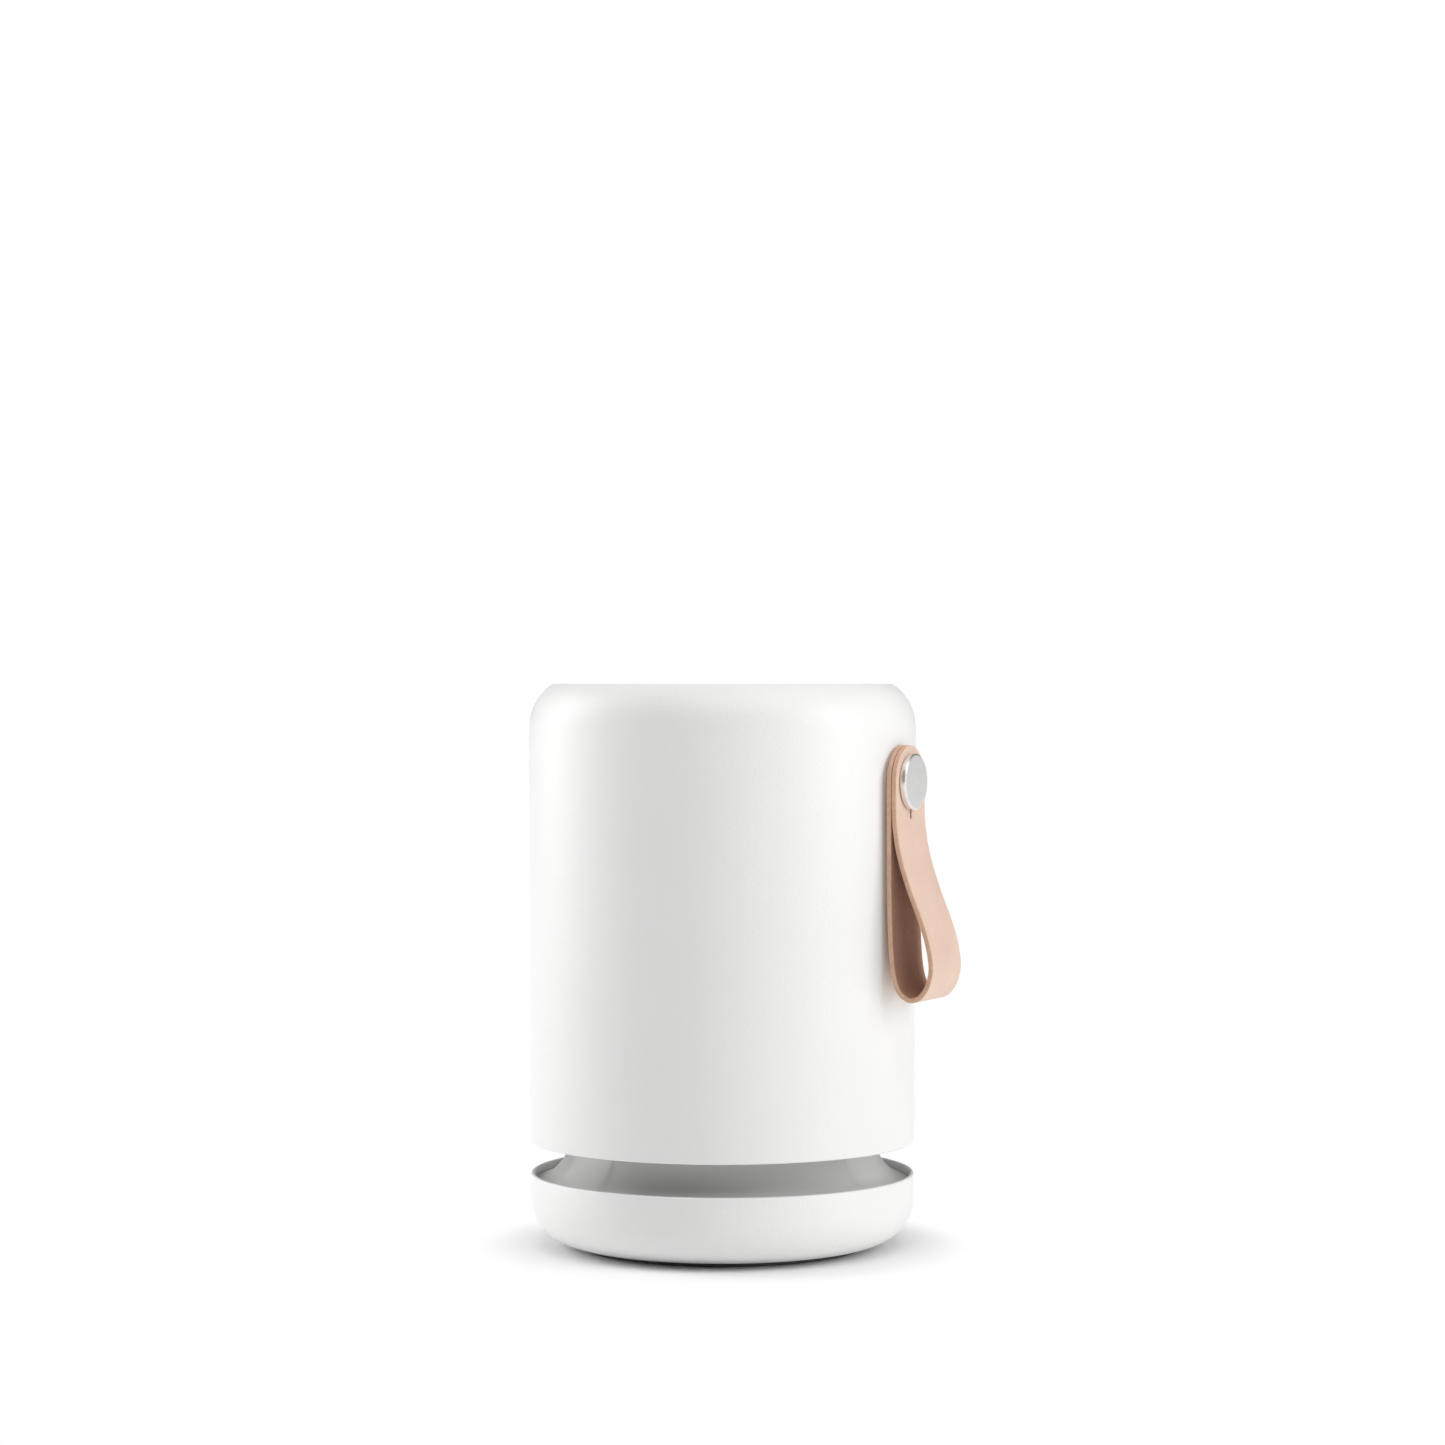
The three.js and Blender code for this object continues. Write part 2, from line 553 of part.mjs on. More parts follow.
function controlTray() {
  const { r, wall, z0, z1, postR, postAt, leadHole } = TRAY;
  const cup = turned([
    [0, z0],
    [r, z0],
    [r, z1],
    [r - wall, z1],
    [r - wall, z0 + wall],
    [0, z0 + wall],
  ], MEDIUM);
  const posts = SCREW_AZIMUTHS.map((a) => moved(disc(postR, z0 + 1, BOARD_DISC.z0 - GAP, HOLE), postAt, a));
  const hole = disc(leadHole, z0 - 1, z0 + wall + 1, HOLE);
  return cut(join(cup, ...posts), moved(hole, 28, 180), moved(hole, 20, 0), moved(hole, 20, 60));
}

function controlDisc() {
  const { z0, z1, edge } = DISC;
  const bore = BUTTON.r + GAP;
  const outer = TRAY.r - GAP;
  return turned([
    [bore, z0],
    [outer, z0],
    [outer, z1 - edge],
    [outer - edge, z1],
    [GROOVE.r1, z1],
    [GROOVE.r1, GROOVE.z],
    [GROOVE.r0, GROOVE.z],
    [GROOVE.r0, z1],
    [bore, z1],
  ], MEDIUM);
}

function powerButton() {
  const { r, top, flange, flangeZ, stemR, stemZ } = BUTTON;
  return turned([
    [0, stemZ],
    [stemR, stemZ],
    [stemR, flangeZ],
    [r + flange, flangeZ],
    [r + flange, TRAY.z1],
    [r, TRAY.z1],
    [r, top - 0.5],
    [r - 0.5, top],
    [0, top],
  ], MEDIUM);
}

const controls = new THREE.Group();
const lightRing = ring(LIGHT.r0, LIGHT.r1, LIGHT.z, DISC.z1, MEDIUM);
const tact = new THREE.BoxGeometry(SWITCH.width, SWITCH.width, SWITCH.h).translate(0, 0, SWITCH.z);
piece(housing, "top_grille", outletGrille(), WHITE);
piece(housing, "control_tray", controlTray(), PALE_PLASTIC);
piece(housing, "control_disc", controlDisc(), WHITE);
piece(housing, "light_ring", lightRing, LENS);
piece(housing, "main_board", disc(BOARD_DISC.r, BOARD_DISC.z0, BOARD_DISC.z1, MEDIUM), BOARD);
piece(housing, "tact_switch", tact, BLACK_PLASTIC);
piece(controls, "power_button", powerButton(), PALE_PLASTIC);

// ---------------------------------------------------------------- power inlet and leads
function dcSocket() {
  const { r, flange, bore } = SOCKET;
  const at = SOCKET_Y;
  return turned([
    [0, at.back],
    [r, at.back],
    [r, at.flange0],
    [flange, at.flange0],
    [flange, at.flange1],
    [r, at.flange1],
    [r, at.face],
    [bore, at.face],
    [bore, at.bore],
    [0, at.bore],
  ], SMALL);
}

const socket = piece(housing, "dc_socket", dcSocket(), BLACK_PLASTIC);
const pin = piece(housing, "dc_pin", disc(SOCKET.pinR, SOCKET_Y.bore + GAP, SOCKET_Y.pin, HOLE), BRASS);
[socket, pin].forEach((mesh) => {
  mesh.rotation.x = -Math.PI / 2;
  mesh.position.z = SOCKET.z;
});

const point = (x, y, z) => new THREE.Vector3(x, y, z);
const powerRoute = [
  point(0, SOCKET_Y.back - 0.4, SOCKET.z),
  point(0, SOCKET_Y.back - 3, SOCKET.z),
  point(0, 84.6, 81),
  point(0, 86, 89),
  point(0, 95, 106),
  point(0, POWER_LEAD_AT, 124),
  point(0, POWER_LEAD_AT, 160),
  point(0, POWER_LEAD_AT, 202),
  point(0, POWER_LEAD_AT, 245),
  point(0, 92, 268),
  point(0, 78, 271),
  point(0, 36, 268),
  point(0, 29, 271.5),
  point(0, 28, 276),
  point(0, 28, 283.5),
];
const motorRoute = [point(0, -14, 261.4), point(0, -16, 268), point(0, -20, 275), point(0, -20, 283.5)];
const lampRoute = [
  polar(31, 60, 205.7),
  polar(50, 60, 205.7),
  polar(74, 60, 205.9),
  polar(82, 60, 206.8),
  polar(88, 60, 213),
  polar(90, 60, 226),
  polar(90, 60, 250),
  polar(84, 60, 266),
  polar(60, 60, 270),
  polar(28, 60, 269),
  polar(20, 60, 275),
  polar(20, 60, 283.5),
];
piece(housing, "power_lead", lead(powerRoute, SLEEVE.power, 34), BLACK_PLASTIC);
piece(housing, "motor_lead", lead(motorRoute, SLEEVE.motor, 8), BLACK_PLASTIC);
piece(housing, "lamp_lead", lead(lampRoute, SLEEVE.lamp, 30), BLACK_PLASTIC);

// ---------------------------------------------------------------- stud
const stud = new THREE.Group();
stud.rotation.y = Math.PI / 2;
stud.position.z = STUD_Z;
piece(
  stud,
  "strap_stud",
  turned([
    [0, 94],
    [STUD.shank, 94],
    [STUD.shank, HOUSING_R + 0.2],
    [STUD.neck, HOUSING_R + 0.2],
    [STUD.neck, STUD.back],
    [STUD.head - 0.4, STUD.back],
    [STUD.head, STUD.back + 0.4],
    [STUD.head, STUD.face - 0.5],
    [STUD.head - 0.5, STUD.face],
    [0, STUD.face],
  ], MEDIUM),
  ALUMINIUM,
);
const plate = new THREE.BoxGeometry(PLATE.height, PLATE.width, PLATE.thick).translate(0, 0, PLATE.x);
const studBore = disc(STUD.shank + GAP, 94, 102, SMALL);
piece(stud, "backing_plate", cut(solid(plate), studBore), STEEL);
piece(stud, "stud_nut", cut(solid(disc(NUT.r, NUT.x0, NUT.x1, 6)), studBore), STEEL);

// ---------------------------------------------------------------- strap
// The strap's centre line in the (x, z) plane, from the end behind the stud, down and round the
// loop, and up to the end in front of it.
const STRAP_LINE = [
  [107.1, 276], [107.1, 210], [107.4, 185], [108.2, 165], [109.6, 152], [112.6, 143.3],
  [116.5, 139.7], [120.1, 138.8], [124.2, 140.2], [128, 144.6], [130.4, 151], [130.9, 158],
  [128.9, 169], [124.9, 181], [118.4, 197.3], [113.4, 213], [110.9, 226], [109.95, 240], [109.95, 276],
];

function strap() {
  const line = new THREE.SplineCurve(STRAP_LINE.map(([x, z]) => new THREE.Vector2(x, z)));
  const steps = 44;
  const side = (offset) =>
    Array.from({ length: steps + 1 }, (_, i) => {
      const along = line.getTangent(i / steps);
      const at = line.getPoint(i / steps);
      return [at.x - along.y * offset, at.y + along.x * offset];
    });
  const outline = [...side(STRAP_THICK / 2), ...side(-STRAP_THICK / 2).reverse()];
  const strip = prism(outline, -STRAP_WIDTH / 2, STRAP_WIDTH / 2).rotateX(Math.PI / 2);
  const half = STRAP_WIDTH / 2;
  const roundEnd = arc(-STUD_Z, 0, half, 90, 270, 10); // X here turns to -Z below
  const blank = prism([[-100, -half], [-100, half], ...roundEnd], 90, 150).rotateY(Math.PI / 2);
  const slit = new THREE.BoxGeometry(SLIT.depth, SLIT.width, SLIT.length);
  slit.translate(SLIT.x, 0, STUD_Z - SLIT.length / 2);
  const hole = disc(STUD.neck + 1, 90, 130, SMALL).rotateY(Math.PI / 2);
  const body = solid(strip).intersect(solid(blank));
  return cut(body, hole.translate(0, 0, STUD_Z), slit);
}

const carry = new THREE.Group();
piece(carry, "strap", strap(), LEATHER);

// ---------------------------------------------------------------- assembly
housing.add(rotating, controls, stud, carry);
const purifier = new THREE.Group();
purifier.add(base, filter, housing);

export default purifier;
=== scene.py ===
import math

import bmesh
import bpy
from mathutils import Matrix, Vector


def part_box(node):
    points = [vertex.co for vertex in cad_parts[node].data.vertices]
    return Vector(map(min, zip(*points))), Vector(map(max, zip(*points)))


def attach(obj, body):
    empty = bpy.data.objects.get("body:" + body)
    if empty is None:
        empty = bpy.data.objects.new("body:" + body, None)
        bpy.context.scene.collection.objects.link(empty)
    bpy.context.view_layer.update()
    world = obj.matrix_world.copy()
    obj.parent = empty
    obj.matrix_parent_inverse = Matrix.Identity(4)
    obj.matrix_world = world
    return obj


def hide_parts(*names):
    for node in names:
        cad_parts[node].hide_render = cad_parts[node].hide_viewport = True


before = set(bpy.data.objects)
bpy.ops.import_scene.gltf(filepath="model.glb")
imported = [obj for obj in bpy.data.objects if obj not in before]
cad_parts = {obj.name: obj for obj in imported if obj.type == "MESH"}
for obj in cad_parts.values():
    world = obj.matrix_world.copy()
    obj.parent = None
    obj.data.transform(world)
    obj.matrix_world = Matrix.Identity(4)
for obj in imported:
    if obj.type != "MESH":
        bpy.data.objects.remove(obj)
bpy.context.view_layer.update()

MM = 0.001
GAP = 0.3  # millimetres between neighbouring pieces, as in the frame
LEG_AZIMUTHS = (90, 210, 330)  # azimuth 0 is the front (-Y), 90 is +X
SCREW_AZIMUTHS = (30, 150, 270)
# Degrees off a leg's middle between which its side slopes down, on the flare and at the top.
LEG_FOOT_EDGE = (11.4, 15.6)
LEG_TOP_EDGE = (12.9, 14.1)


# ------------------------------------------------------------------ frame and outline helpers
def span(node):
    """Lowest and highest corner of a CAD node, in millimetres."""
    low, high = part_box(node)
    return low / MM, high / MM


def arc(r, z, radius, start, end, steps):
    """Points of an arc in the (r, z) plane, from one angle to another, both included."""
    angles = [math.radians(start + (end - start) * i / steps) for i in range(steps + 1)]
    return [(r + radius * math.cos(a), z + radius * math.sin(a)) for a in angles]


def rounded(corners, steps=5, support=0.0):
    """A closed outline with its corners rounded. Each corner is (r, z) or (r, z, radius).

    With support, there is one more point this far beside each rounding, which keeps the flat faces
    flat when the piece is smooth-shaded.
    """
    points = []
    for i, corner in enumerate(corners):
        here = Vector(corner[:2])
        radius = corner[2] if len(corner) > 2 else 0
        if not radius:
            points.append(tuple(here))
            continue
        back = Vector(corners[i - 1][:2]) - here
        ahead = Vector(corners[(i + 1) % len(corners)][:2]) - here
        half = back.angle(ahead) / 2
        reach = min(radius / math.tan(half), 0.49 * back.length, 0.49 * ahead.length)
        back.normalize()
        ahead.normalize()
        centre = here + (back + ahead).normalized() * reach / math.cos(half)
        start = here + back * reach - centre
        sweep = start.angle_signed(here + ahead * reach - centre)
        if support:
            points.append(tuple(here + back * (reach + support)))
        for k in range(steps + 1):
            turn = -sweep * k / steps
            cos, sin = math.cos(turn), math.sin(turn)
            x, y = start
            points.append((centre.x + x * cos - y * sin, centre.y + x * sin + y * cos))
        if support:
            points.append(tuple(here + ahead * (reach + support)))
    return points


# ------------------------------------------------------------------ mesh helpers
def made(name, bm, sharp=32):
    """An object from a bmesh, smooth but for edges over the given angle."""
    bmesh.ops.remove_doubles(bm, verts=bm.verts, dist=1e-7)
    bmesh.ops.recalc_face_normals(bm, faces=bm.faces)
    mesh = bpy.data.meshes.new(name)
    bm.to_mesh(mesh)
    bm.free()
    piece = bpy.data.objects.new(name, mesh)
    bpy.context.scene.collection.objects.link(piece)
    shade(piece, sharp)
    return piece


def shade(piece, sharp=32):
    piece.data.shade_smooth()
    piece.data.set_sharp_from_angle(angle=math.radians(sharp))


def revolve(bm, outline, sides):
    """Adds a closed body of revolution about Z. The outline is in millimetres."""
    angles = [2 * math.pi * i / sides for i in range(sides)]
    rings = []
    for r, z in outline:
        if r < 1e-6:
            rings.append([bm.verts.new((0, 0, z * MM))] * sides)
        else:
            ring = [(r * MM * math.sin(a), -r * MM * math.cos(a), z * MM) for a in angles]
            rings.append([bm.verts.new(point) for point in ring])
    closed = outline[0][0] > 1e-6 or outline[-1][0] > 1e-6
    for low, high in zip(rings, rings[1:] + ([rings[0]] if closed else [])):
        for i in range(sides):
            j = (i + 1) % sides
            face = list(dict.fromkeys((low[i], low[j], high[j], high[i])))
            if len(face) > 2:
                bm.faces.new(face)


def turned(name, outline, sides=128):
    """A piece made by turning a closed outline about Z."""
    bm = bmesh.new()
    revolve(bm, outline, sides)
    return made(name, bm)


def washer(r0, r1, z0, z1, radius, steps=3):
    """The outline of a ring with rounded corners, or of a disc if r0 is 0."""
    if r0 == 0:
        return rounded([(0, z0), (r1, z0, radius), (r1, z1, radius), (0, z1)], steps)
    corners = [(r0, z0, radius), (r1, z0, radius), (r1, z1, radius), (r0, z1, radius)]
    return rounded(corners, steps)


def placed(piece, matrix):
    """Moves a piece's mesh, so that its object stays at the origin."""
    piece.data.transform(matrix)
    return piece


def polar(r, azimuth, z=0.0):
    """A move out to a radius and round to an azimuth, in millimetres and degrees."""
    turn = Matrix.Rotation(math.radians(azimuth), 4, "Z")
    return turn @ Matrix.Translation((0, -r * MM, z * MM))


ALONG_X = Matrix.Rotation(math.radians(90), 4, "Y")
ALONG_Y = Matrix.Rotation(math.radians(-90), 4, "X")


def add_block(bm, size, matrix):
    """Adds a box of the given size in millimetres, centred where the matrix puts it."""
    scale = Matrix.Diagonal((*[s * MM for s in size], 1))
    bmesh.ops.create_cube(bm, size=1, matrix=matrix @ scale)


def settle(piece):
    """Bakes a piece's modifiers into its mesh."""
    bpy.context.view_layer.update()
    graph = bpy.context.evaluated_depsgraph_get()
    piece.data = bpy.data.meshes.new_from_object(piece.evaluated_get(graph))
    piece.modifiers.clear()


def combine(piece, operation, *tools):
    """Adds the tools to a piece, or cuts them from it, and removes them."""
    for tool in tools:
        step = piece.modifiers.new("combine", "BOOLEAN")
        step.operation = operation
        step.solver = "EXACT"
        step.object = tool
    settle(piece)
    for tool in tools:
        bpy.data.objects.remove(tool)
    shade(piece)
    return piece


def soften(piece, width, segments=2):
    """Rounds a piece's sharp edges. The width is in millimetres."""
    bevel = piece.modifiers.new("bevel", "BEVEL")
    bevel.width = width * MM
    bevel.segments = segments
    bevel.limit_method = "ANGLE"
    bevel.angle_limit = math.radians(30)
    bevel.use_clamp_overlap = True
    settle(piece)
    shade(piece, 40)
    return piece


def refined(node, width=0.25):
    """A copy of a CAD node with its flat faces merged and its edges rounded."""
    bm = bmesh.new()
    bm.from_mesh(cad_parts[node].data)
    bmesh.ops.remove_doubles(bm, verts=bm.verts, dist=1e-6)
    bmesh.ops.dissolve_limit(bm, angle_limit=0.01, verts=bm.verts, edges=bm.edges)
    return soften(made(node + "_fine", bm), width)


def fitted(piece, body, node, slot, *materials):
    """Puts a piece on a body in place of a CAD node, with its materials. The slot argument is not
    used.
    """
    for material in materials:
        piece.data.materials.append(material)
    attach(piece, body)
    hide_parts(node)
    return piece


# ------------------------------------------------------------------ material helpers
class Finish:
    """A Principled material with a few procedural layers in object space."""

    def __init__(self, name, roughness, metallic=0.0, **sockets):
        self.material = bpy.data.materials.new(name)
        self.material.use_nodes = True
        self.tree = self.material.node_tree
        self.shader = self.tree.nodes["Principled BSDF"]
        self.shader.inputs["Roughness"].default_value = roughness
        self.shader.inputs["Metallic"].default_value = metallic
        for socket, value in sockets.items():
            self.shader.inputs[socket.replace("_", " ")].default_value = value
        self.place = self.tree.nodes.new("ShaderNodeTexCoord").outputs["Object"]
        self.normal = None

    def link(self, source, target):
        self.tree.links.new(source, target)

    def noise(self, scale, detail, roughness=0.5, stretch=None):
        node = self.tree.nodes.new("ShaderNodeTexNoise")
        node.inputs["Scale"].default_value = scale
        node.inputs["Detail"].default_value = detail
        node.inputs["Roughness"].default_value = roughness
        self.link(self.stretched(stretch), node.inputs["Vector"])
        return node.outputs["Fac"]

    def cells(self, scale, feature="F1", stretch=None):
        node = self.tree.nodes.new("ShaderNodeTexVoronoi")
        node.feature = feature
        node.inputs["Scale"].default_value = scale
        self.link(self.stretched(stretch), node.inputs["Vector"])
        return node.outputs["Distance"]

    def stretched(self, stretch):
        if stretch is None:
            return self.place
        node = self.tree.nodes.new("ShaderNodeMapping")
        node.inputs["Scale"].default_value = stretch
        self.link(self.place, node.inputs["Vector"])
        return node.outputs["Vector"]

    def colours(self, factor, low, high, start=0.3, end=0.7):
        """Varies the base colour between two colours as the factor goes from start to end."""
        ramp = self.tree.nodes.new("ShaderNodeValToRGB")
        first, last = ramp.color_ramp.elements
        first.position, first.color = start, (*low, 1)
        last.position, last.color = end, (*high, 1)
        self.link(factor, ramp.inputs["Fac"])
        self.shader.inputs["Base Color"].default_value = (*high, 1)
        self.link(ramp.outputs["Color"], self.shader.inputs["Base Color"])
        return self

    def rough(self, factor, low, high, start=0.3, end=0.7):
        """Varies the roughness from low to high as the factor goes from start to end."""
        node = self.tree.nodes.new("ShaderNodeMapRange")
        limits = {"From Min": start, "From Max": end, "To Min": low, "To Max": high}
        for socket, value in limits.items():
            node.inputs[socket].default_value = value
        self.link(factor, node.inputs["Value"])
        self.link(node.outputs["Result"], self.shader.inputs["Roughness"])
        return self

    def bump(self, height, distance):
        """Adds relief. The distance is the height of the relief in millimetres."""
        node = self.tree.nodes.new("ShaderNodeBump")
        node.inputs["Distance"].default_value = distance * MM
        self.link(height, node.inputs["Height"])
        if self.normal:
            self.link(self.normal, node.inputs["Normal"])
        self.normal = node.outputs["Normal"]
        self.link(self.normal, self.shader.inputs["Normal"])
        return self


def moulded(name, colour, roughness, grain=900, relief=0.012, spread=0.03, **sockets):
    """Moulded plastic: a fine spark-eroded texture, with a faint change of tone."""
    finish = Finish(name, roughness, **sockets)
    dark = tuple(c * (1 - spread) for c in colour)
    finish.colours(finish.noise(22, 4), dark, colour)
    finish.rough(finish.noise(55, 5), roughness - 0.02, roughness + 0.03)
    return finish.bump(finish.noise(grain, 2), relief).material


def metal(name, colour, roughness, stretch=(1, 1, 1)):
    """Metal with a fine grain, drawn out along an axis by the stretch."""
    finish = Finish(name, roughness, metallic=1.0)
    dark = tuple(c * 0.9 for c in colour)
    grain = finish.noise(1500, 3, stretch=stretch)
    finish.colours(finish.noise(80, 4), dark, colour)
    finish.rough(grain, roughness - 0.07, roughness + 0.1)
    return finish.bump(grain, 0.004).material


WAVE_RADIANS = 20  # how far a wave texture turns over one unit at scale 1


def turned_metal(name, colour, roughness, axis_z):
    """Metal faced on a lathe: fine rings about an axis along X at the given height."""
    radian = 0.22  # millimetres to a radian of the wave, so the rings are 1.4 mm apart
    finish = Finish(name, roughness, metallic=1.0)
    rings = finish.tree.nodes.new("ShaderNodeTexWave")
    rings.wave_type = "RINGS"
    rings.rings_direction = "X"
    rings.inputs["Scale"].default_value = 1 / (radian * MM) / WAVE_RADIANS
    rings.inputs["Distortion"].default_value = 0.6
    rings.inputs["Detail"].default_value = 2
    centre = finish.tree.nodes.new("ShaderNodeMapping")
    centre.inputs["Location"].default_value = (0, 0, -axis_z * MM)
    finish.link(finish.place, centre.inputs["Vector"])
    finish.link(centre.outputs["Vector"], rings.inputs["Vector"])
    finish.colours(finish.noise(140, 4), tuple(c * 0.94 for c in colour), colour)
    finish.rough(rings.outputs["Fac"], roughness - 0.04, roughness + 0.06, 0, 1)
    return finish.bump(rings.outputs["Fac"], 0.0025).material


def leather_face():
    finish = Finish("leather_grain", 0.5, Sheen_Weight=0.08, Sheen_Roughness=0.5)
    finish.colours(finish.noise(45, 6, 0.6), (0.735, 0.525, 0.41), (0.795, 0.59, 0.47))
    finish.rough(finish.noise(220, 4), 0.46, 0.6)
    finish.bump(finish.noise(120, 3), 0.05)
    finish.bump(finish.cells(1100, "SMOOTH_F1"), 0.045)
    return finish.bump(finish.noise(3200, 3), 0.02).material


def leather_flesh():
    finish = Finish("leather_flesh", 0.85, Sheen_Weight=0.25, Sheen_Roughness=0.6)
    finish.colours(finish.noise(420, 6, 0.7), (0.42, 0.20, 0.11), (0.52, 0.26, 0.15))
    return finish.bump(finish.noise(900, 6, 0.7, (1, 1, 0.35)), 0.10).material


def leather_edge():
    finish = Finish("leather_edge", 0.55)
    fibres = finish.noise(600, 5, 0.65, (1, 0.3, 1))
    finish.colours(fibres, (0.60, 0.36, 0.24), (0.73, 0.47, 0.335))
    return finish.bump(finish.noise(1800, 4, 0.6), 0.05).material


def pleated_paper():
    finish = Finish("filter_fleece", 0.95, Sheen_Weight=0.2)
    fibres = finish.noise(700, 6, 0.7, (1, 1, 0.2))
    finish.colours(fibres, (0.80, 0.79, 0.74), (0.90, 0.89, 0.85))
    return finish.bump(finish.noise(1500, 5, 0.7), 0.08).material


def foam():
    finish = Finish("seal_foam", 0.95)
    # Painted shade: each pit of the relief below is coloured darker towards its middle, as shade in
    # the foam's pores.
    finish.colours(finish.cells(900), (0.02, 0.02, 0.022), (0.10, 0.105, 0.11), 0.1, 0.5)
    return finish.bump(finish.cells(900), 0.25).material


def circuit_board():
    finish = Finish("solder_mask", 0.3)
    tracks = finish.cells(180, "F1", (1, 1, 0.1))
    finish.colours(tracks, (0.015, 0.10, 0.045), (0.03, 0.19, 0.09), 0.25, 0.3)
    return finish.bump(tracks, 0.02).material


def winding():
    finish = Finish("copper_winding", 0.35, metallic=0.9)
    turns = finish.tree.nodes.new("ShaderNodeTexWave")
    turns.inputs["Scale"].default_value = 110
    turns.bands_direction = "Z"
    finish.link(finish.place, turns.inputs["Vector"])
    # Painted shade: the colour darkens into the grooves between the turns, where the relief below
    # is lowest.
    finish.colours(turns.outputs["Fac"], (0.30, 0.10, 0.03), (0.70, 0.30, 0.11), 0.1, 0.8)
    return finish.bump(turns.outputs["Fac"], 0.2).material


def diffuser():
    finish = Finish("lens", 0.35, Transmission_Weight=0.35, IOR=1.49)
    finish.colours(finish.noise(200, 3), (0.80, 0.85, 0.86), (0.90, 0.93, 0.93))
    return finish.bump(finish.noise(1500, 2), 0.01).material


def rubber():
    finish = Finish("foot_rubber", 0.75)
    finish.colours(finish.noise(140, 5), (0.085, 0.085, 0.087), (0.12, 0.12, 0.122))
    return finish.bump(finish.noise(1300, 4), 0.06).material


WHITE = moulded(
    "white_plastic", (0.905, 0.902, 0.896), 0.42, grain=620, relief=0.2, spread=0.012,
)
GREY = moulded(
    "grey_plastic", (0.70, 0.70, 0.695), 0.42, relief=0.03, spread=0.012, Specular_IOR_Level=0.35,
)
PALE = moulded("pale_plastic", (0.74, 0.74, 0.73), 0.5)
BLACK = moulded("black_plastic", (0.028, 0.028, 0.03), 0.45, relief=0.02)
SHEATH = moulded("lead_sheath", (0.03, 0.03, 0.032), 0.4)
RUBBER = rubber()
STEEL = metal("plated_steel", (0.63, 0.64, 0.66), 0.3)
ALUMINIUM = metal("extruded_aluminium", (0.82, 0.82, 0.81), 0.32, (1, 1, 0.03))
BRASS = metal("brass", (0.78, 0.58, 0.26), 0.25)
COPPER = winding()
PAPER = pleated_paper()
FOAM = foam()
BOARD = circuit_board()
LENS = diffuser()
GRAIN, FLESH, EDGE = leather_face(), leather_flesh(), leather_edge()

stud_low, stud_high = span("strap_stud")
STUD_Z = (stud_low.z + stud_high.z) / 2
SATIN = turned_metal("satin_aluminium", (0.86, 0.86, 0.85), 0.33, STUD_Z)

# ------------------------------------------------------------------ camera and stage
shell_low, shell_high = span("housing_shell")
# Lengths from here to the base are in metres, and angles in degrees.
VIEW_AZIMUTH = 26.3  # round from the front, towards the strap
VIEW_DISTANCE = 1.9078  # from the object's axis
VIEW_PITCH = 0.629  # downwards
VIEW_LENS = 87.34  # focal length in millimetres
FLOOR_R = 9.0
FLOOR_FADE = (0.0965, 0.1375)  # distances from the axis over which the lit floor turns plain white
FILL = 0.06  # how strongly the surroundings light the object
# Name, azimuth from the camera's, distance, height, width, height of its face, and radiance.
LIGHTS = [
    ("top_light", 0, 0.01, 2.4, 2.6, 2.6, 1.02),
    ("top_front_light", 8, 1.2, 2.0, 1.6, 1.0, 2.35),
    ("left_light", -106, 2.1, 0.8, 1.5, 2.2, 3.75),
    ("right_light", 70, 2.1, 0.8, 1.15, 2.2, 3.65),
    ("right_back_light", 122, 2.1, 0.8, 0.9, 2.2, 0.33),
]
LIGHTS_AIM = 0.15  # the height on the axis that they all face


def studio():
    """The camera, level with the top of the housing, and a plain display transform."""
    camera = bpy.data.objects.new("camera", bpy.data.cameras.new("camera"))
    bpy.context.scene.collection.objects.link(camera)
    turn = math.radians(VIEW_AZIMUTH)
    camera.data.lens = VIEW_LENS
    camera.data.sensor_width = 36
    camera.data.clip_end = 100
    x, y = VIEW_DISTANCE * math.sin(turn), -VIEW_DISTANCE * math.cos(turn)
    camera.location = (x, y, shell_high.z * MM)
    camera.rotation_euler = (math.radians(90 - VIEW_PITCH), 0, turn)
    bpy.context.scene.camera = camera
    bpy.context.scene.view_settings.view_transform = "Standard"


def floor():
    """A pale floor that takes the soft shadow, and turns plain white away from the object."""
    bm = bmesh.new()
    bmesh.ops.create_circle(bm, cap_ends=True, segments=96, radius=FLOOR_R)
    sheet = made("floor", bm)
    finish = Finish("pale_floor", 0.9)
    finish.colours(finish.noise(3, 2), (0.945, 0.945, 0.945), (0.955, 0.955, 0.955))
    tree = finish.tree
    distance = tree.nodes.new("ShaderNodeVectorMath")
    distance.operation = "LENGTH"
    finish.link(finish.place, distance.inputs[0])
    fade = tree.nodes.new("ShaderNodeMapRange")
    fade.interpolation_type = "SMOOTHSTEP"
    fade.inputs["From Min"].default_value = FLOOR_FADE[0]
    fade.inputs["From Max"].default_value = FLOOR_FADE[1]
    finish.link(distance.outputs["Value"], fade.inputs["Value"])
    mix = tree.nodes.new("ShaderNodeMixShader")
    white = tree.nodes.new("ShaderNodeEmission")
    finish.link(fade.outputs["Result"], mix.inputs["Fac"])
    finish.link(finish.shader.outputs["BSDF"], mix.inputs[1])
    finish.link(white.outputs["Emission"], mix.inputs[2])
    finish.link(mix.outputs["Shader"], tree.nodes["Material Output"].inputs["Surface"])
    sheet.data.materials.append(finish.material)


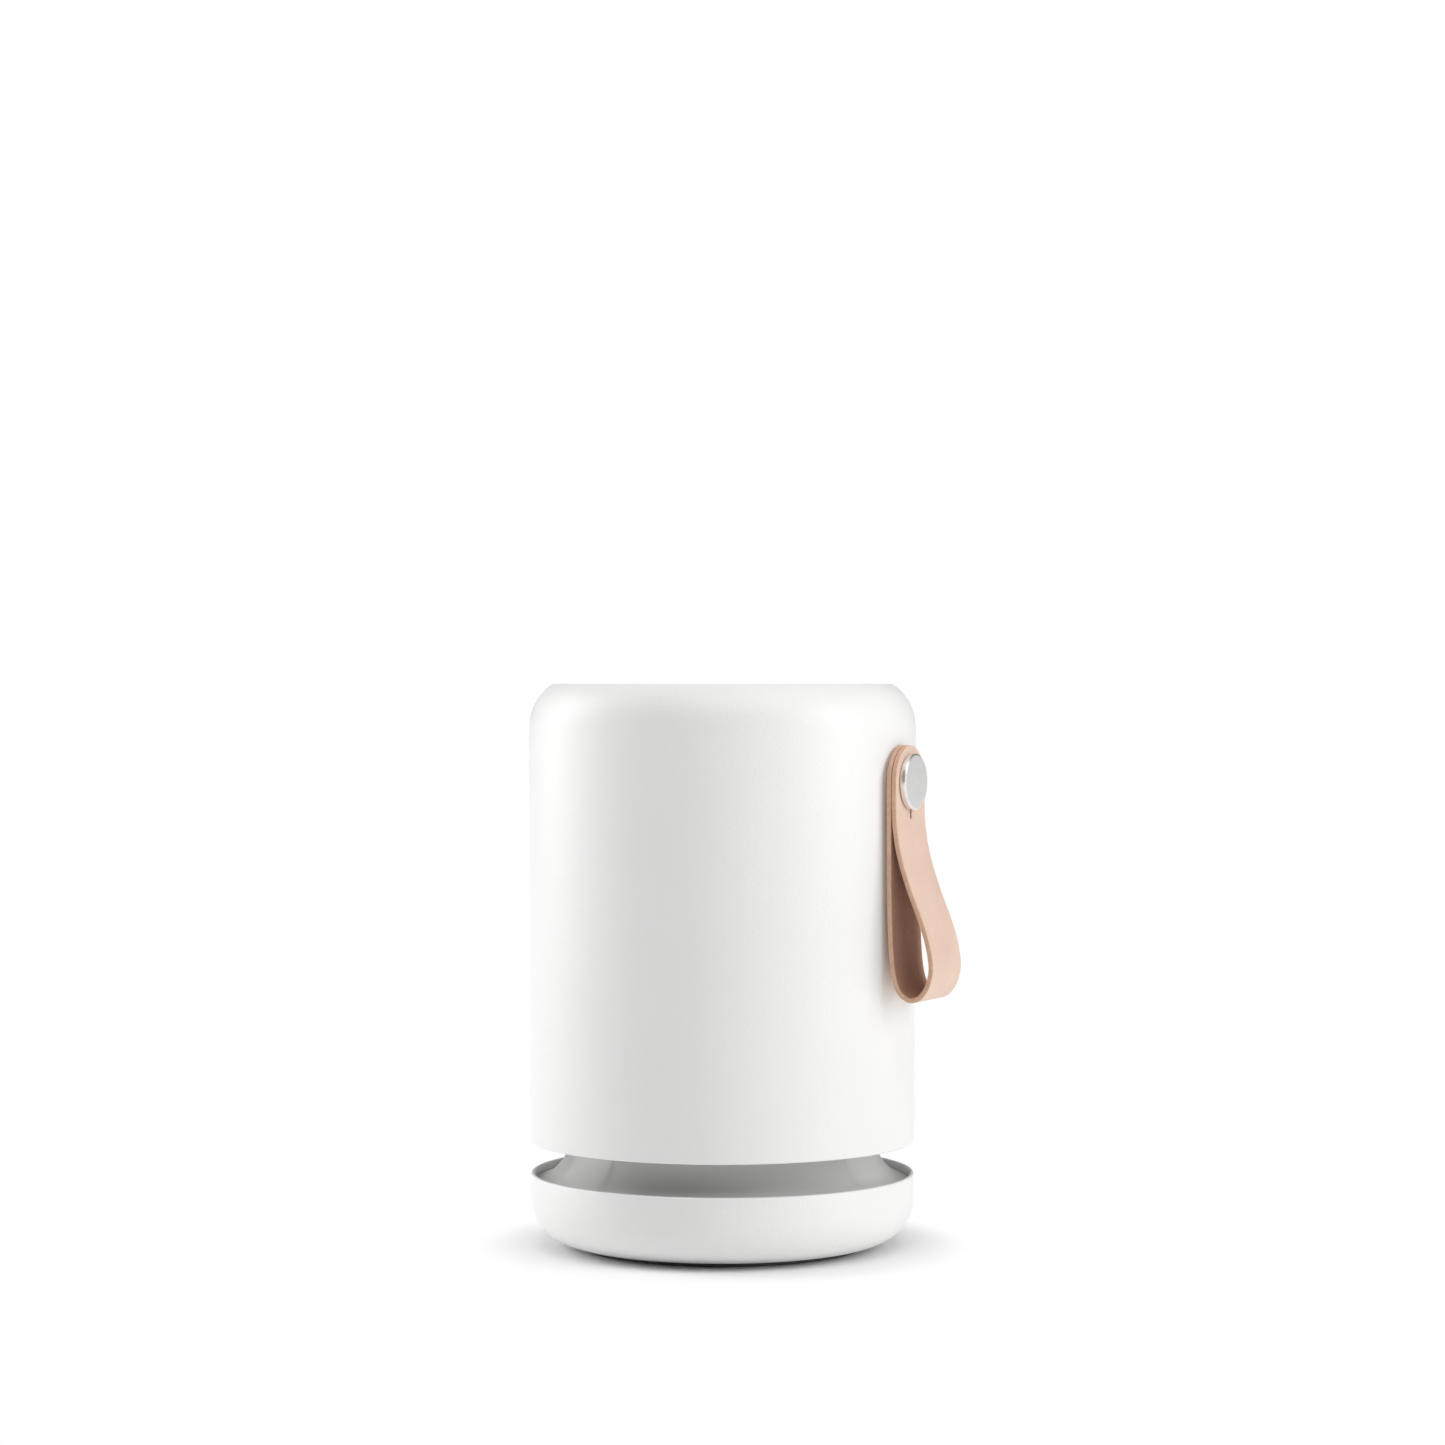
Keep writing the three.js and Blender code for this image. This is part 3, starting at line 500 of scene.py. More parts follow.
def softbox(name, azimuth, distance, height, width, tall, radiance):
    """A rectangular light that faces the object, at an azimuth counted from the camera's."""
    light = bpy.data.lights.new(name, "AREA")
    light.shape = "RECTANGLE"
    light.size = width
    light.size_y = tall
    light.energy = radiance * math.pi * width * tall
    lamp = bpy.data.objects.new(name, light)
    turn = math.radians(VIEW_AZIMUTH + azimuth)
    lamp.location = (distance * math.sin(turn), -distance * math.cos(turn), height)
    facing = Vector((0, 0, LIGHTS_AIM)) - lamp.location
    lamp.rotation_euler = facing.to_track_quat("-Z", "Y").to_euler()
    bpy.context.scene.collection.objects.link(lamp)


def surroundings():
    """White surroundings. They look white, and light the surfaces at the fill's strength."""
    world = bpy.data.worlds.new("studio")
    bpy.context.scene.world = world
    world.use_nodes = True
    tree = world.node_tree
    fill = tree.nodes["Background"]
    fill.inputs["Color"].default_value = (1, 1, 1, 1)
    fill.inputs["Strength"].default_value = FILL
    seen = tree.nodes.new("ShaderNodeBackground")
    seen.inputs["Color"].default_value = (1, 1, 1, 1)
    path = tree.nodes.new("ShaderNodeLightPath")
    mix = tree.nodes.new("ShaderNodeMixShader")
    tree.links.new(path.outputs["Is Camera Ray"], mix.inputs["Fac"])
    tree.links.new(fill.outputs["Background"], mix.inputs[1])
    tree.links.new(seen.outputs["Background"], mix.inputs[2])
    tree.links.new(mix.outputs["Shader"], tree.nodes["World Output"].inputs["Surface"])


studio()
floor()
surroundings()
for light in LIGHTS:
    softbox(*light)


# ------------------------------------------------------------------ base
SCREW_R = 60  # where the three screws stand that join the cone to the bowl
SCREW_SEAT = 5.9  # top of the pockets that their heads stand in
CUP_TOP = 9  # top of the cups in the bowl that they pass through
MAGNET_R = 90  # where the magnets stand in the tops of the legs


def base_bowl():
    low, high = span("base_bowl")
    radius, corner, wall = high.x, 24, 2.2
    middle = (radius - corner, low.z + corner)
    outline = rounded([
        (0, low.z),
        *arc(*middle, corner, -90, 0, 20),
        (radius, high.z, 0.9),
        (radius - wall, high.z, 0.9),
        *arc(*middle, corner - wall, 0, -90, 14),
        (0, low.z + wall),
    ])
    bowl = turned("base_bowl_fine", outline, 256)
    cup_r, pocket_r, hole_r = 6.5, 4, 2
    cups, holes = [], []
    for azimuth in SCREW_AZIMUTHS:
        place = polar(SCREW_R, azimuth)
        cup = turned("cup", washer(0, cup_r, low.z + 1, CUP_TOP, 0.6), 48)
        pocket = turned("screw_pocket", washer(0, pocket_r, 0, SCREW_SEAT, 0), 40)
        hole = turned("screw_hole", washer(0, hole_r, 4, CUP_TOP + 1, 0), 32)
        cups.append(placed(cup, place))
        holes += [placed(pocket, place), placed(hole, place)]
    combine(bowl, "UNION", *cups)
    return combine(bowl, "DIFFERENCE", *holes)


def foot_pad():
    high = span("foot_pad")[1]
    radius = high.y
    tread = radius - 14
    outline = rounded([
        (0, 0.5),
        (tread, 0.5, 0.2),
        (tread, 0, 0.3),
        (radius, 0, 0.6),
        (radius, high.z, 0.3),
        (0, high.z),
    ])
    return turned("foot_pad_fine", outline, 192)


def leg_weight(azimuth, edge):
    """1 on a leg, 0 off it, with a rounded slope between."""
    off = min(abs((azimuth - a + 180) % 360 - 180) for a in LEG_AZIMUTHS)
    part = max(0.0, min(1.0, (edge[1] - off) / (edge[1] - edge[0])))
    return part * part * (3 - 2 * part)


def intake_cone():
    """A flared skin with a flat top, three broad low legs on it, and posts for its screws."""
    top = span("intake_cone")[1].z
    centre_r, centre_z, flare, wall, proud = 106.2, 58.2, 22.7, 2.0, 0.8
    foot_angle, leg_top_angle, steps = 257.5, 190, 30
    pocket_r, pocket_h = 4.3, 3.3
    neck = centre_r - flare
    outer = arc(centre_r, centre_z, flare, foot_angle, 180, steps)
    plain = outer + rounded([(neck, centre_z), (neck, top, 1.5), (0, top)], 6)[1:-1]
    raised = []
    for i in range(steps + 1):
        angle = math.radians(foot_angle + (leg_top_angle - foot_angle) * i / steps)
        radius = flare - proud * min(1.0, i / 3)
        raised.append((centre_r + radius * math.cos(angle), centre_z + radius * math.sin(angle)))
    corbel = rounded([raised[-1], (89, 57.8, 2), (96, 58.8, 0.8), (96, top, 0.8), (0, top)], 4)
    raised += resampled(corbel[1:-1], len(plain) - len(raised), plain[-1])
    under = arc(centre_r, centre_z, flare + wall, 180, foot_angle, 12)
    inside = [(neck - wall, top - wall), *under]
    azimuths = sorted({round(a, 3) for leg in LEG_AZIMUTHS for a in leg_steps(leg)})
    bm = bmesh.new()
    rings = []
    for azimuth in azimuths:
        line = inside + leg_outline(plain, raised, azimuth)
        turn = math.radians(azimuth)
        points = [(r * MM * math.sin(turn), -r * MM * math.cos(turn), z * MM) for r, z in line]
        rings.append([bm.verts.new(point) for point in points])
    lower = bm.verts.new((0, 0, (top - wall) * MM))
    upper = bm.verts.new((0, 0, top * MM))
    for ring, following in zip(rings, rings[1:] + rings[:1]):
        for i in range(len(ring) - 1):
            bm.faces.new((ring[i], following[i], following[i + 1], ring[i + 1]))
        bm.faces.new((lower, following[0], ring[0]))
        bm.faces.new((upper, ring[-1], following[-1]))
    cone = made("intake_cone_fine", bm, 24)
    pockets = []
    for azimuth in LEG_AZIMUTHS:
        pocket = turned("pocket", washer(0, pocket_r, top - pocket_h, top + 1, 0), 48)
        pockets.append(placed(pocket, polar(MAGNET_R, azimuth)))
    combine(cone, "DIFFERENCE", *pockets)
    foot, roof, post_r, bore, bore_top = CUP_TOP + GAP, top - 1, 4.5, 1.8, 22
    post = [
        (bore, foot), (post_r, foot), (post_r, roof), (0, roof), (0, bore_top), (bore, bore_top),
    ]
    places = [polar(SCREW_R, azimuth) for azimuth in SCREW_AZIMUTHS]
    return combine(cone, "UNION", *[placed(turned("post", post, 32), place) for place in places])


def leg_outline(plain, raised, azimuth):
    """The cone's outer outline at an azimuth, between the plain one and the one on a leg."""
    foot, crisp = leg_weight(azimuth, LEG_FOOT_EDGE), leg_weight(azimuth, LEG_TOP_EDGE)
    change_from, change_over = 20, 10  # points up the outline
    line = []
    for i, (p, q) in enumerate(zip(plain, raised)):
        weight = foot + (crisp - foot) * min(1.0, max(0.0, (i - change_from) / change_over))
        line.append((p[0] + (q[0] - p[0]) * weight, p[1] + (q[1] - p[1]) * weight))
    return line


def leg_steps(leg):
    """Azimuths over the third of a turn about a leg, close together at the leg's edges."""
    low, high = LEG_FOOT_EDGE
    margin, fine_steps = 0.4, 14
    coarse = [leg - 60 + 2.5 * i for i in range(49)]
    kept = [a for a in coarse if not low - margin < abs(a - leg) < high + margin]
    slope = [low + (high - low) * k / fine_steps for k in range(fine_steps + 1)]
    fine = [leg + side * a for side in (-1, 1) for a in slope]
    return [a % 360 for a in kept + fine]


def resampled(points, count, last):
    """The same path with the given number of points, that ends at the given last point."""
    path = [Vector(p) for p in points] + [Vector(last)]
    lengths = [0.0]
    for a, b in zip(path, path[1:]):
        lengths.append(lengths[-1] + (b - a).length)
    result = []
    for i in range(count):
        want = lengths[-1] * (i + 1) / count
        k = next(n for n, length in enumerate(lengths) if length >= want - 1e-9)
        part = (want - lengths[k - 1]) / max(lengths[k] - lengths[k - 1], 1e-9)
        result.append(tuple(path[k - 1].lerp(path[k], part)))
    return result


fitted(base_bowl(), "base", "base_bowl", "housing_white", WHITE)
fitted(foot_pad(), "base", "foot_pad", "foot_rubber", RUBBER)
fitted(intake_cone(), "base", "intake_cone", "cone_grey", GREY)


# ------------------------------------------------------------------ filter cartridge
def filter_media():
    """Paper folded into upright pleats, as one closed ring."""
    low, high = span("filter_media")
    pleats, depth, outer, inner = 84, 5.5, high.x, 39
    bm = bmesh.new()
    steps = pleats * 8
    columns = []
    for i in range(steps):
        turn = 2 * math.pi * i / steps
        skin = outer - depth * abs(math.cos(turn * pleats / 2)) ** 0.8
        corners = ((inner, low.z), (skin, low.z), (skin, high.z), (inner, high.z))
        points = [(r * MM * math.sin(turn), -r * MM * math.cos(turn), z * MM) for r, z in corners]
        columns.append([bm.verts.new(point) for point in points])
    for column, following in zip(columns, columns[1:] + columns[:1]):
        for i in range(4):
            j = (i + 1) % 4
            bm.faces.new((column[i], following[i], following[j], column[j]))
    return made("filter_media_fine", bm, 60)


CAP_LIP = 1.2  # thickness of the rim round each of the filter's caps


def filter_bottom_cap():
    low, high = span("filter_bottom_cap")
    outline = rounded([
        (0, low.z),
        (high.x, low.z, 1.2),
        (high.x, high.z, 0.5),
        (high.x - CAP_LIP, high.z, 0.5),
        (high.x - CAP_LIP, low.z + 2, 0.3),
        (0, low.z + 2),
    ])
    return turned("filter_bottom_cap_fine", outline, 160)


def filter_top_cap():
    low, high = span("filter_top_cap")
    inner, thick = 34, 4
    outline = rounded([
        (inner, high.z, 0.4),
        (high.x, high.z, 1.2),
        (high.x, low.z, 0.5),
        (high.x - CAP_LIP, low.z, 0.5),
        (high.x - CAP_LIP, high.z - thick, 0.5),
        (inner, high.z - thick, 0.4),
    ])
    return turned("filter_top_cap_fine", outline, 160)


fitted(filter_bottom_cap(), "base", "filter_bottom_cap", "inner_plastic", PALE)
fitted(filter_top_cap(), "base", "filter_top_cap", "inner_plastic", PALE)
fitted(filter_media(), "base", "filter_media", "filter_paper", PAPER)
fitted(refined("filter_core"), "base", "filter_core", "inner_plastic", PALE)
seal_low, seal_high = span("filter_seal")
seal = turned("filter_seal_fine", washer(44, 56, seal_low.z, seal_high.z, 1.2, 6))
fitted(seal, "base", "filter_seal", "seal_foam", FOAM)


# ------------------------------------------------------------------ housing
def housing_shell():
    """The housing, with its round shoulder, the recess for the grille, and bosses for the deck."""
    radius, rim_z, top_z = shell_high.x, shell_low.z, shell_high.z
    rim_r, wall, shoulder, shoulder_z = radius - 0.65, 2.5, 28, top_z - 23.3
    opening, ledge, ledge_z, collar = 89.5, 87, top_z - 6, 91.5
    centre = (radius - shoulder, shoulder_z)
    top_angle = math.degrees(math.asin((top_z - shoulder_z) / shoulder))
    collar_angle = math.degrees(math.acos((collar - centre[0]) / (shoulder - wall)))
    bend = arc(*centre, shoulder, 0, top_angle, 28)
    outline = rounded([
        (rim_r - wall, rim_z, 0.9),
        (rim_r, rim_z, 1.1),
        *bend[:-1],
        (*bend[-1], 0.45),
        (opening, top_z, 0.6),
        (opening, ledge_z, 0.2),
        (ledge, ledge_z, 0.4),
        (ledge, ledge_z - 2.5, 0.4),
        (collar, ledge_z - 2.5),
        *arc(*centre, shoulder - wall, collar_angle, 0, 16),
    ])
    shell = turned("housing_shell_fine", outline, 256)
    stud_hole_r, inlet_r, through = 2.9, 5.9, (95, 110)
    stud_hole = placed(turned("stud_hole", washer(0, stud_hole_r, *through, 0), 48), STUD_PLACE)
    inlet = placed(turned("inlet_hole", washer(0, inlet_r, *through, 0), 64), SOCKET_PLACE)
    shell = combine(shell, "DIFFERENCE", stud_hole, inlet)
    boss_z = span("fan_deck")[1].z + GAP
    boss_h, boss_at_r, rib_at_r = 18, 97.5, 102.1
    bosses = []
    for azimuth in SCREW_AZIMUTHS:
        boss = turned("boss", washer(1.8, 4, boss_z, boss_z + boss_h, 0.3), 48)
        bosses.append(placed(boss, polar(boss_at_r, azimuth)))
        bm = bmesh.new()
        add_block(bm, (4, 2.6, boss_h), polar(rib_at_r, azimuth, boss_z + boss_h / 2))
        bosses.append(made("rib", bm))
    return combine(shell, "UNION", *bosses)


socket_low, socket_high = span("dc_socket")
SOCKET_PLACE = Matrix.Translation((0, 0, (socket_low.z + socket_high.z) / 2 * MM)) @ ALONG_Y
STUD_PLACE = Matrix.Translation((0, 0, STUD_Z * MM)) @ ALONG_X
fitted(housing_shell(), "housing", "housing_shell", "housing_white", WHITE)
fitted(refined("seat_ring", 0.4), "housing", "seat_ring", "inner_plastic", PALE)
fitted(refined("fan_deck"), "housing", "fan_deck", "inner_plastic", PALE)
fitted(refined("motor_bridge", 0.5), "housing", "motor_bridge", "inner_plastic", PALE)
fitted(refined("lamp_bracket", 0.4), "housing", "lamp_bracket", "inner_plastic", PALE)
fitted(refined("lamp_column", 0.6), "housing", "lamp_column", "stud_aluminium", ALUMINIUM)
fitted(refined("control_tray", 0.3), "housing", "control_tray", "inner_plastic", PALE)


# ------------------------------------------------------------------ fasteners, magnets and bearings
def screw(name, node):
    """A pan-head screw that points up, with a cross recess in its head."""
    low, high = span(node)
    head = turned(name, rounded([
        (0, low.z),
        (2.0, low.z, 0.3),
        (3.2, low.z + 1.1, 0.5),
        (3.2, low.z + 2, 0.2),
        (1.5, low.z + 2, 0.1),
        (1.5, high.z - 1.2),
        (0.5, high.z, 0.1),
        (0, high.z),
    ], 3), 40)
    recess = bmesh.new()
    # The second bar is a little deeper, so that no two of their faces lie in one plane.
    for size in ((3.0, 0.7, 1.6), (0.7, 3.0, 1.601)):
        add_block(recess, size, Matrix.Translation((0, 0, low.z * MM)))
    return combine(head, "DIFFERENCE", made("recess", recess))


def spread(body, group, make):
    """Three copies of a small steel piece, at the places of its three CAD nodes."""
    for n in (1, 2, 3):
        node = f"{group}_{n}"
        low, high = span(node)
        middle = (low + high) / 2
        piece = make(node + "_fine", node)
        placed(piece, Matrix.Translation((middle.x * MM, middle.y * MM, 0)))
        fitted(piece, body, node, "steel", STEEL)


def small_disc(name, node):
    low, high = span(node)
    return turned(name, washer(0, 4, low.z, high.z, 0.35), 48)


spread("base", "base_screw", screw)
spread("base", "hold_magnet", small_disc)
spread("housing", "keeper_disc", small_disc)
spread("housing", "deck_screw", screw)
spread("housing", "bridge_screw", screw)


# ------------------------------------------------------------------ fan and motor
def tube(node, r0, r1):
    low, high = span(node)
    return turned(node + "_fine", washer(r0, r1, low.z, high.z, 0.2), 64)


def impeller():
    """Hub and top plate, lower ring, and curved vanes between them."""
    low, high = span("impeller")
    radius, eye, hub, floor_z, vanes = high.x, 38, 24, 216, 28
    bm = bmesh.new()
    revolve(bm, rounded([
        (2.1, floor_z, 0.2),
        (hub - 3, floor_z, 4),
        (hub, floor_z + 6, 3),
        (hub + 2, high.z - 6, 5),
        (hub + 12, high.z - 2, 6),
        (radius, high.z - 2, 0.5),
        (radius, high.z, 0.5),
        (22, high.z, 1),
        (22, floor_z + 2, 1),
        (2.1, floor_z + 2, 0.2),
    ], 4), 128)
    revolve(bm, washer(eye, radius, low.z, low.z + 1.8, 0.5), 128)
    for i in range(vanes):
        add_vane(bm, 360 / vanes * i, eye + 1.5, radius - 0.6, low.z + 0.9, high.z - 1)
    return made("impeller_fine", bm, 40)


def add_vane(bm, azimuth, r0, r1, z0, z1):
    """Adds a backward-curved blade between two radii."""
    sweep, thick, steps = 26, 1.2, 8
    sides = []
    for i in range(steps + 1):
        part = i / steps
        r = r0 + (r1 - r0) * part
        turn = math.radians(azimuth + sweep * part ** 1.2)
        half = thick / 2 * (0.5 + 0.5 * math.sin(math.pi * min(1, part + 0.15))) / r
        sides.append([(r, turn - half), (r, turn + half)])
    outline = [s[0] for s in sides] + [s[1] for s in reversed(sides)]
    points = [(r * MM * math.sin(a), -r * MM * math.cos(a)) for r, a in outline]
    lower = [bm.verts.new((x, y, z0 * MM)) for x, y in points]
    upper = [bm.verts.new((x, y, z1 * MM)) for x, y in points]
    for i in range(len(points)):
        j = (i + 1) % len(points)
        bm.faces.new((lower[i], lower[j], upper[j], upper[i]))
    for k in range(steps):
        a, b = k, k + 1
        c, d = len(points) - 2 - k, len(points) - 1 - k
        bm.faces.new((lower[a], lower[d], lower[c], lower[b]))
        bm.faces.new((upper[a], upper[b], upper[c], upper[d]))


def rotor_can():
    low, high = span("rotor_can")
    outline = rounded([
        (2.1, low.z, 0.2),
        (high.x, low.z, 1.2),
        (high.x, high.z, 0.4),
        (18.2, high.z, 0.4),
        (18.2, low.z + 2, 0.4),
        (2.1, low.z + 2, 0.2),
    ])
    return turned("rotor_can_fine", outline, 96)


fitted(impeller(), "impeller", "impeller", "black_plastic", BLACK)
fitted(rotor_can(), "impeller", "rotor_can", "steel", STEEL)
shaft_low, shaft_high = span("motor_shaft")
shaft = turned("motor_shaft_fine", washer(0, 2, shaft_low.z, shaft_high.z, 0.3), 40)
fitted(shaft, "impeller", "motor_shaft", "steel", STEEL)
fitted(tube("bearing_tube", 5.3, 7.2), "housing", "bearing_tube", "brass", BRASS)
fitted(tube("lower_bearing", 2.08, 5), "housing", "lower_bearing", "steel", STEEL)
fitted(tube("upper_bearing", 2.08, 5), "housing", "upper_bearing", "steel", STEEL)
fitted(refined("stator", 0.2), "housing", "stator", "winding", COPPER)


# ------------------------------------------------------------------ top: grille and controls
def top_grille():
    """Rim, two rings, and fins that rise from the middle to the rim."""
    low, high = span("top_grille")
    count, rim_z, disc_z = 28, high.z, span("control_disc")[1].z
    rim, middle, hub = (84.5, high.y), (60.5, 62), (36.6, 38.8)  # inner and outer radii
    round_parts = bmesh.new()
    revolve(round_parts, washer(*rim, low.z + 9.3, rim_z, 0.6), 224)
    revolve(round_parts, washer(*hub, low.z, disc_z, 0.5), 168)
    revolve(round_parts, washer(*middle, 296, 299.5, 0.4), 168)
    bars = bmesh.new()
    for i in range(count):
        add_fin(bars, 360 / count * (i + 0.5), rim_z, disc_z)
    rings, fins = made("rings", round_parts), soften(made("fins", bars), 0.35, 3)
    merged = bmesh.new()
    for piece in (rings, fins):
        merged.from_mesh(piece.data)
        bpy.data.objects.remove(piece)
    return made("top_grille_fine", merged)


def add_fin(bm, azimuth, rim_z, disc_z):
    """Adds a flat fin that stands on its edge along a radius."""
    inner, outer, thick = 37.6, 85.3, 1.5
    side = [(inner, 292), (outer, 299.6), (outer, rim_z - 0.4), (inner, disc_z - 0.05)]
    turn = Matrix.Rotation(math.radians(azimuth), 4, "Z")
    faces = []
    for x in (-thick / 2, thick / 2):
        corners = [turn @ Vector((x * MM, -r * MM, z * MM)) for r, z in side]
        faces.append([bm.verts.new(corner) for corner in corners])
    bm.faces.new(faces[0])
    bm.faces.new(reversed(faces[1]))
    for i in range(4):
        j = (i + 1) % 4
        bm.faces.new((faces[0][j], faces[0][i], faces[1][i], faces[1][j]))


def control_disc():
    low, high = span("control_disc")
    outline = rounded([
        (9, low.z, 0.3),
        (high.y, low.z, 0.3),
        (high.y, high.z, 0.7),
        (14.3, high.z, 0.15),
        (14.3, low.z + 1.2, 0.1),
        (11.7, low.z + 1.2, 0.1),
        (11.7, high.z, 0.15),
        (9, high.z, 0.35),
    ], 5, 0.15)
    return turned("control_disc_fine", outline, 160)


def power_button():
    """A dished cap on a flange and a stem."""
    low, high = span("power_button")
    cap_r, stem_z = 8.7, low.z + 2.6
    dish = [(r, high.z - 0.35 * (1 - (r / 6) ** 2)) for r in (6, 4.5, 3, 1.5)]
    outline = rounded([
        (0, low.z),
        (2, low.z, 0.2),
        (2, stem_z, 0.2),
        (10.2, stem_z, 0.2),
        (10.2, stem_z + 1.3, 0.2),
        (cap_r, stem_z + 1.3, 0.1),
        (cap_r, high.z, 0.6),
        *dish,
        (0, high.z - 0.35),
    ])
    return turned("power_button_fine", outline, 96)


fitted(top_grille(), "housing", "top_grille", "housing_white", WHITE)
fitted(control_disc(), "housing", "control_disc", "housing_white", WHITE)
ring_low, ring_high = span("light_ring")
ring = turned("light_ring_fine", washer(12, 14, ring_low.z, ring_high.z, 0.2))
fitted(ring, "housing", "light_ring", "lens", LENS)
fitted(power_button(), "button", "power_button", "inner_plastic", PALE)
board_low, board_high = span("main_board")
board = turned("main_board_fine", washer(0, board_high.y, board_low.z, board_high.z, 0.1))
fitted(board, "housing", "main_board", "board", BOARD)
fitted(refined("tact_switch", 0.3), "housing", "tact_switch", "black_plastic", BLACK)
for n in (1, 2, 3):
    node = f"lamp_strip_{n}"
    fitted(refined(node, 0.2), "housing", node, "lens", LENS)


# ------------------------------------------------------------------ inlet and leads
def dc_socket():
    low, high = span("dc_socket")
    outline = rounded([
        (0, low.y),
        (5.5, low.y, 0.4),
        (5.5, 98.5, 0.2),
        (8, 98.5, 0.4),
        (8, 101, 0.4),
        (5.5, 101, 0.2),
        (5.5, high.y, 0.4),
        (3.2, high.y, 0.5),
        (3.2, 94, 0.1),
        (0, 94),
    ])
    return placed(turned("dc_socket_fine", outline, 64), SOCKET_PLACE)


pin_low, pin_high = span("dc_pin")
pin = turned("dc_pin_fine", washer(0, 0.9, pin_low.y, pin_high.y, 0.35), 32)
placed(pin, SOCKET_PLACE)
fitted(dc_socket(), "housing", "dc_socket", "black_plastic", BLACK)
fitted(pin, "housing", "dc_pin", "brass", BRASS)
for node in ("power_lead", "motor_lead", "lamp_lead"):
    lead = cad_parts[node]
    lead.data.materials.clear()
    lead.data.materials.append(SHEATH)


# ------------------------------------------------------------------ stud
def strap_stud():
    low, high = span("strap_stud")
    head, neck, shank = (stud_high.z - stud_low.z) / 2, 4.2, 2.5
    back = high.x - 3.4
    outline = rounded([
        (0, low.x),
        (shank, low.x, 0.3),
        (shank, shell_high.x + 0.2),
        (neck, shell_high.x + 0.2, 0.2),
        (neck, back, 0.2),
        (head, back, 0.5),
        (head, high.x - 0.7, 0.3),
        (head - 0.7, high.x, 0.3),
        (0, high.x),
    ], 5, 0.1)
    return placed(turned("strap_stud_fine", outline, 160), STUD_PLACE)


fitted(strap_stud(), "housing", "strap_stud", "stud_aluminium", SATIN)
fitted(refined("backing_plate", 0.3), "housing", "backing_plate", "steel", STEEL)
fitted(refined("stud_nut", 0.3), "housing", "stud_nut", "steel", STEEL)

# ------------------------------------------------------------------ strap
STRAP_HALF = span("strap")[1].y
STRAP_THICK = 2.6
STRAP_CORNER = 0.55
STRAP_HOLE_R = 5.2
SLIT_LENGTH, SLIT_WIDTH = 18.4, 2.3
SECTION_FLAT = 10  # divisions across each face of the strap
SECTION_ROUND = 4  # divisions round each corner
GRAIN_SLOT, FLESH_SLOT, EDGE_SLOT = range(3)  # the strap's materials, in their order on it
# The centre line in the (x, z) plane, from behind the stud, down round the loop, and up in front.
STRAP_LINE = [
    (107.1, 276), (107.1, 210), (107.4, 185), (108.2, 165), (109.6, 152), (112.6, 143.3),
    (116.5, 139.7), (120.1, 138.8), (124.2, 140.2), (128, 144.6), (130.4, 151), (130.9, 158),
    (128.9, 169), (124.9, 181), (118.4, 197.3), (113.4, 213), (110.9, 226), (109.95, 240),
    (109.95, 276),
]


def strap_route():
    """Close points along a smooth curve through the centre line, and straight up at both ends."""
    points = [Vector((x, z)) for x, z in STRAP_LINE]
    points = [2 * points[0] - points[1]] + points + [2 * points[-1] - points[-2]]
    route = []
    for a, b, c, d in zip(points, points[1:], points[2:], points[3:]):
        for k in range(12):
            t = k / 12
            spline = 2 * b + (c - a) * t + (2 * a - 5 * b + 4 * c - d) * t * t
            route.append((spline + (3 * b - a - 3 * c + d) * t ** 3) / 2)
    kept = [p for p in route if p.y < STUD_Z - 1]
    ends = [STUD_Z + STRAP_HALF * math.sin(math.radians(a)) for a in range(0, 91, 5)]
    first = [Vector((route[0].x, z)) for z in reversed(ends)]
    last = [Vector((STRAP_LINE[-1][0], z)) for z in ends]
    return first + kept + last


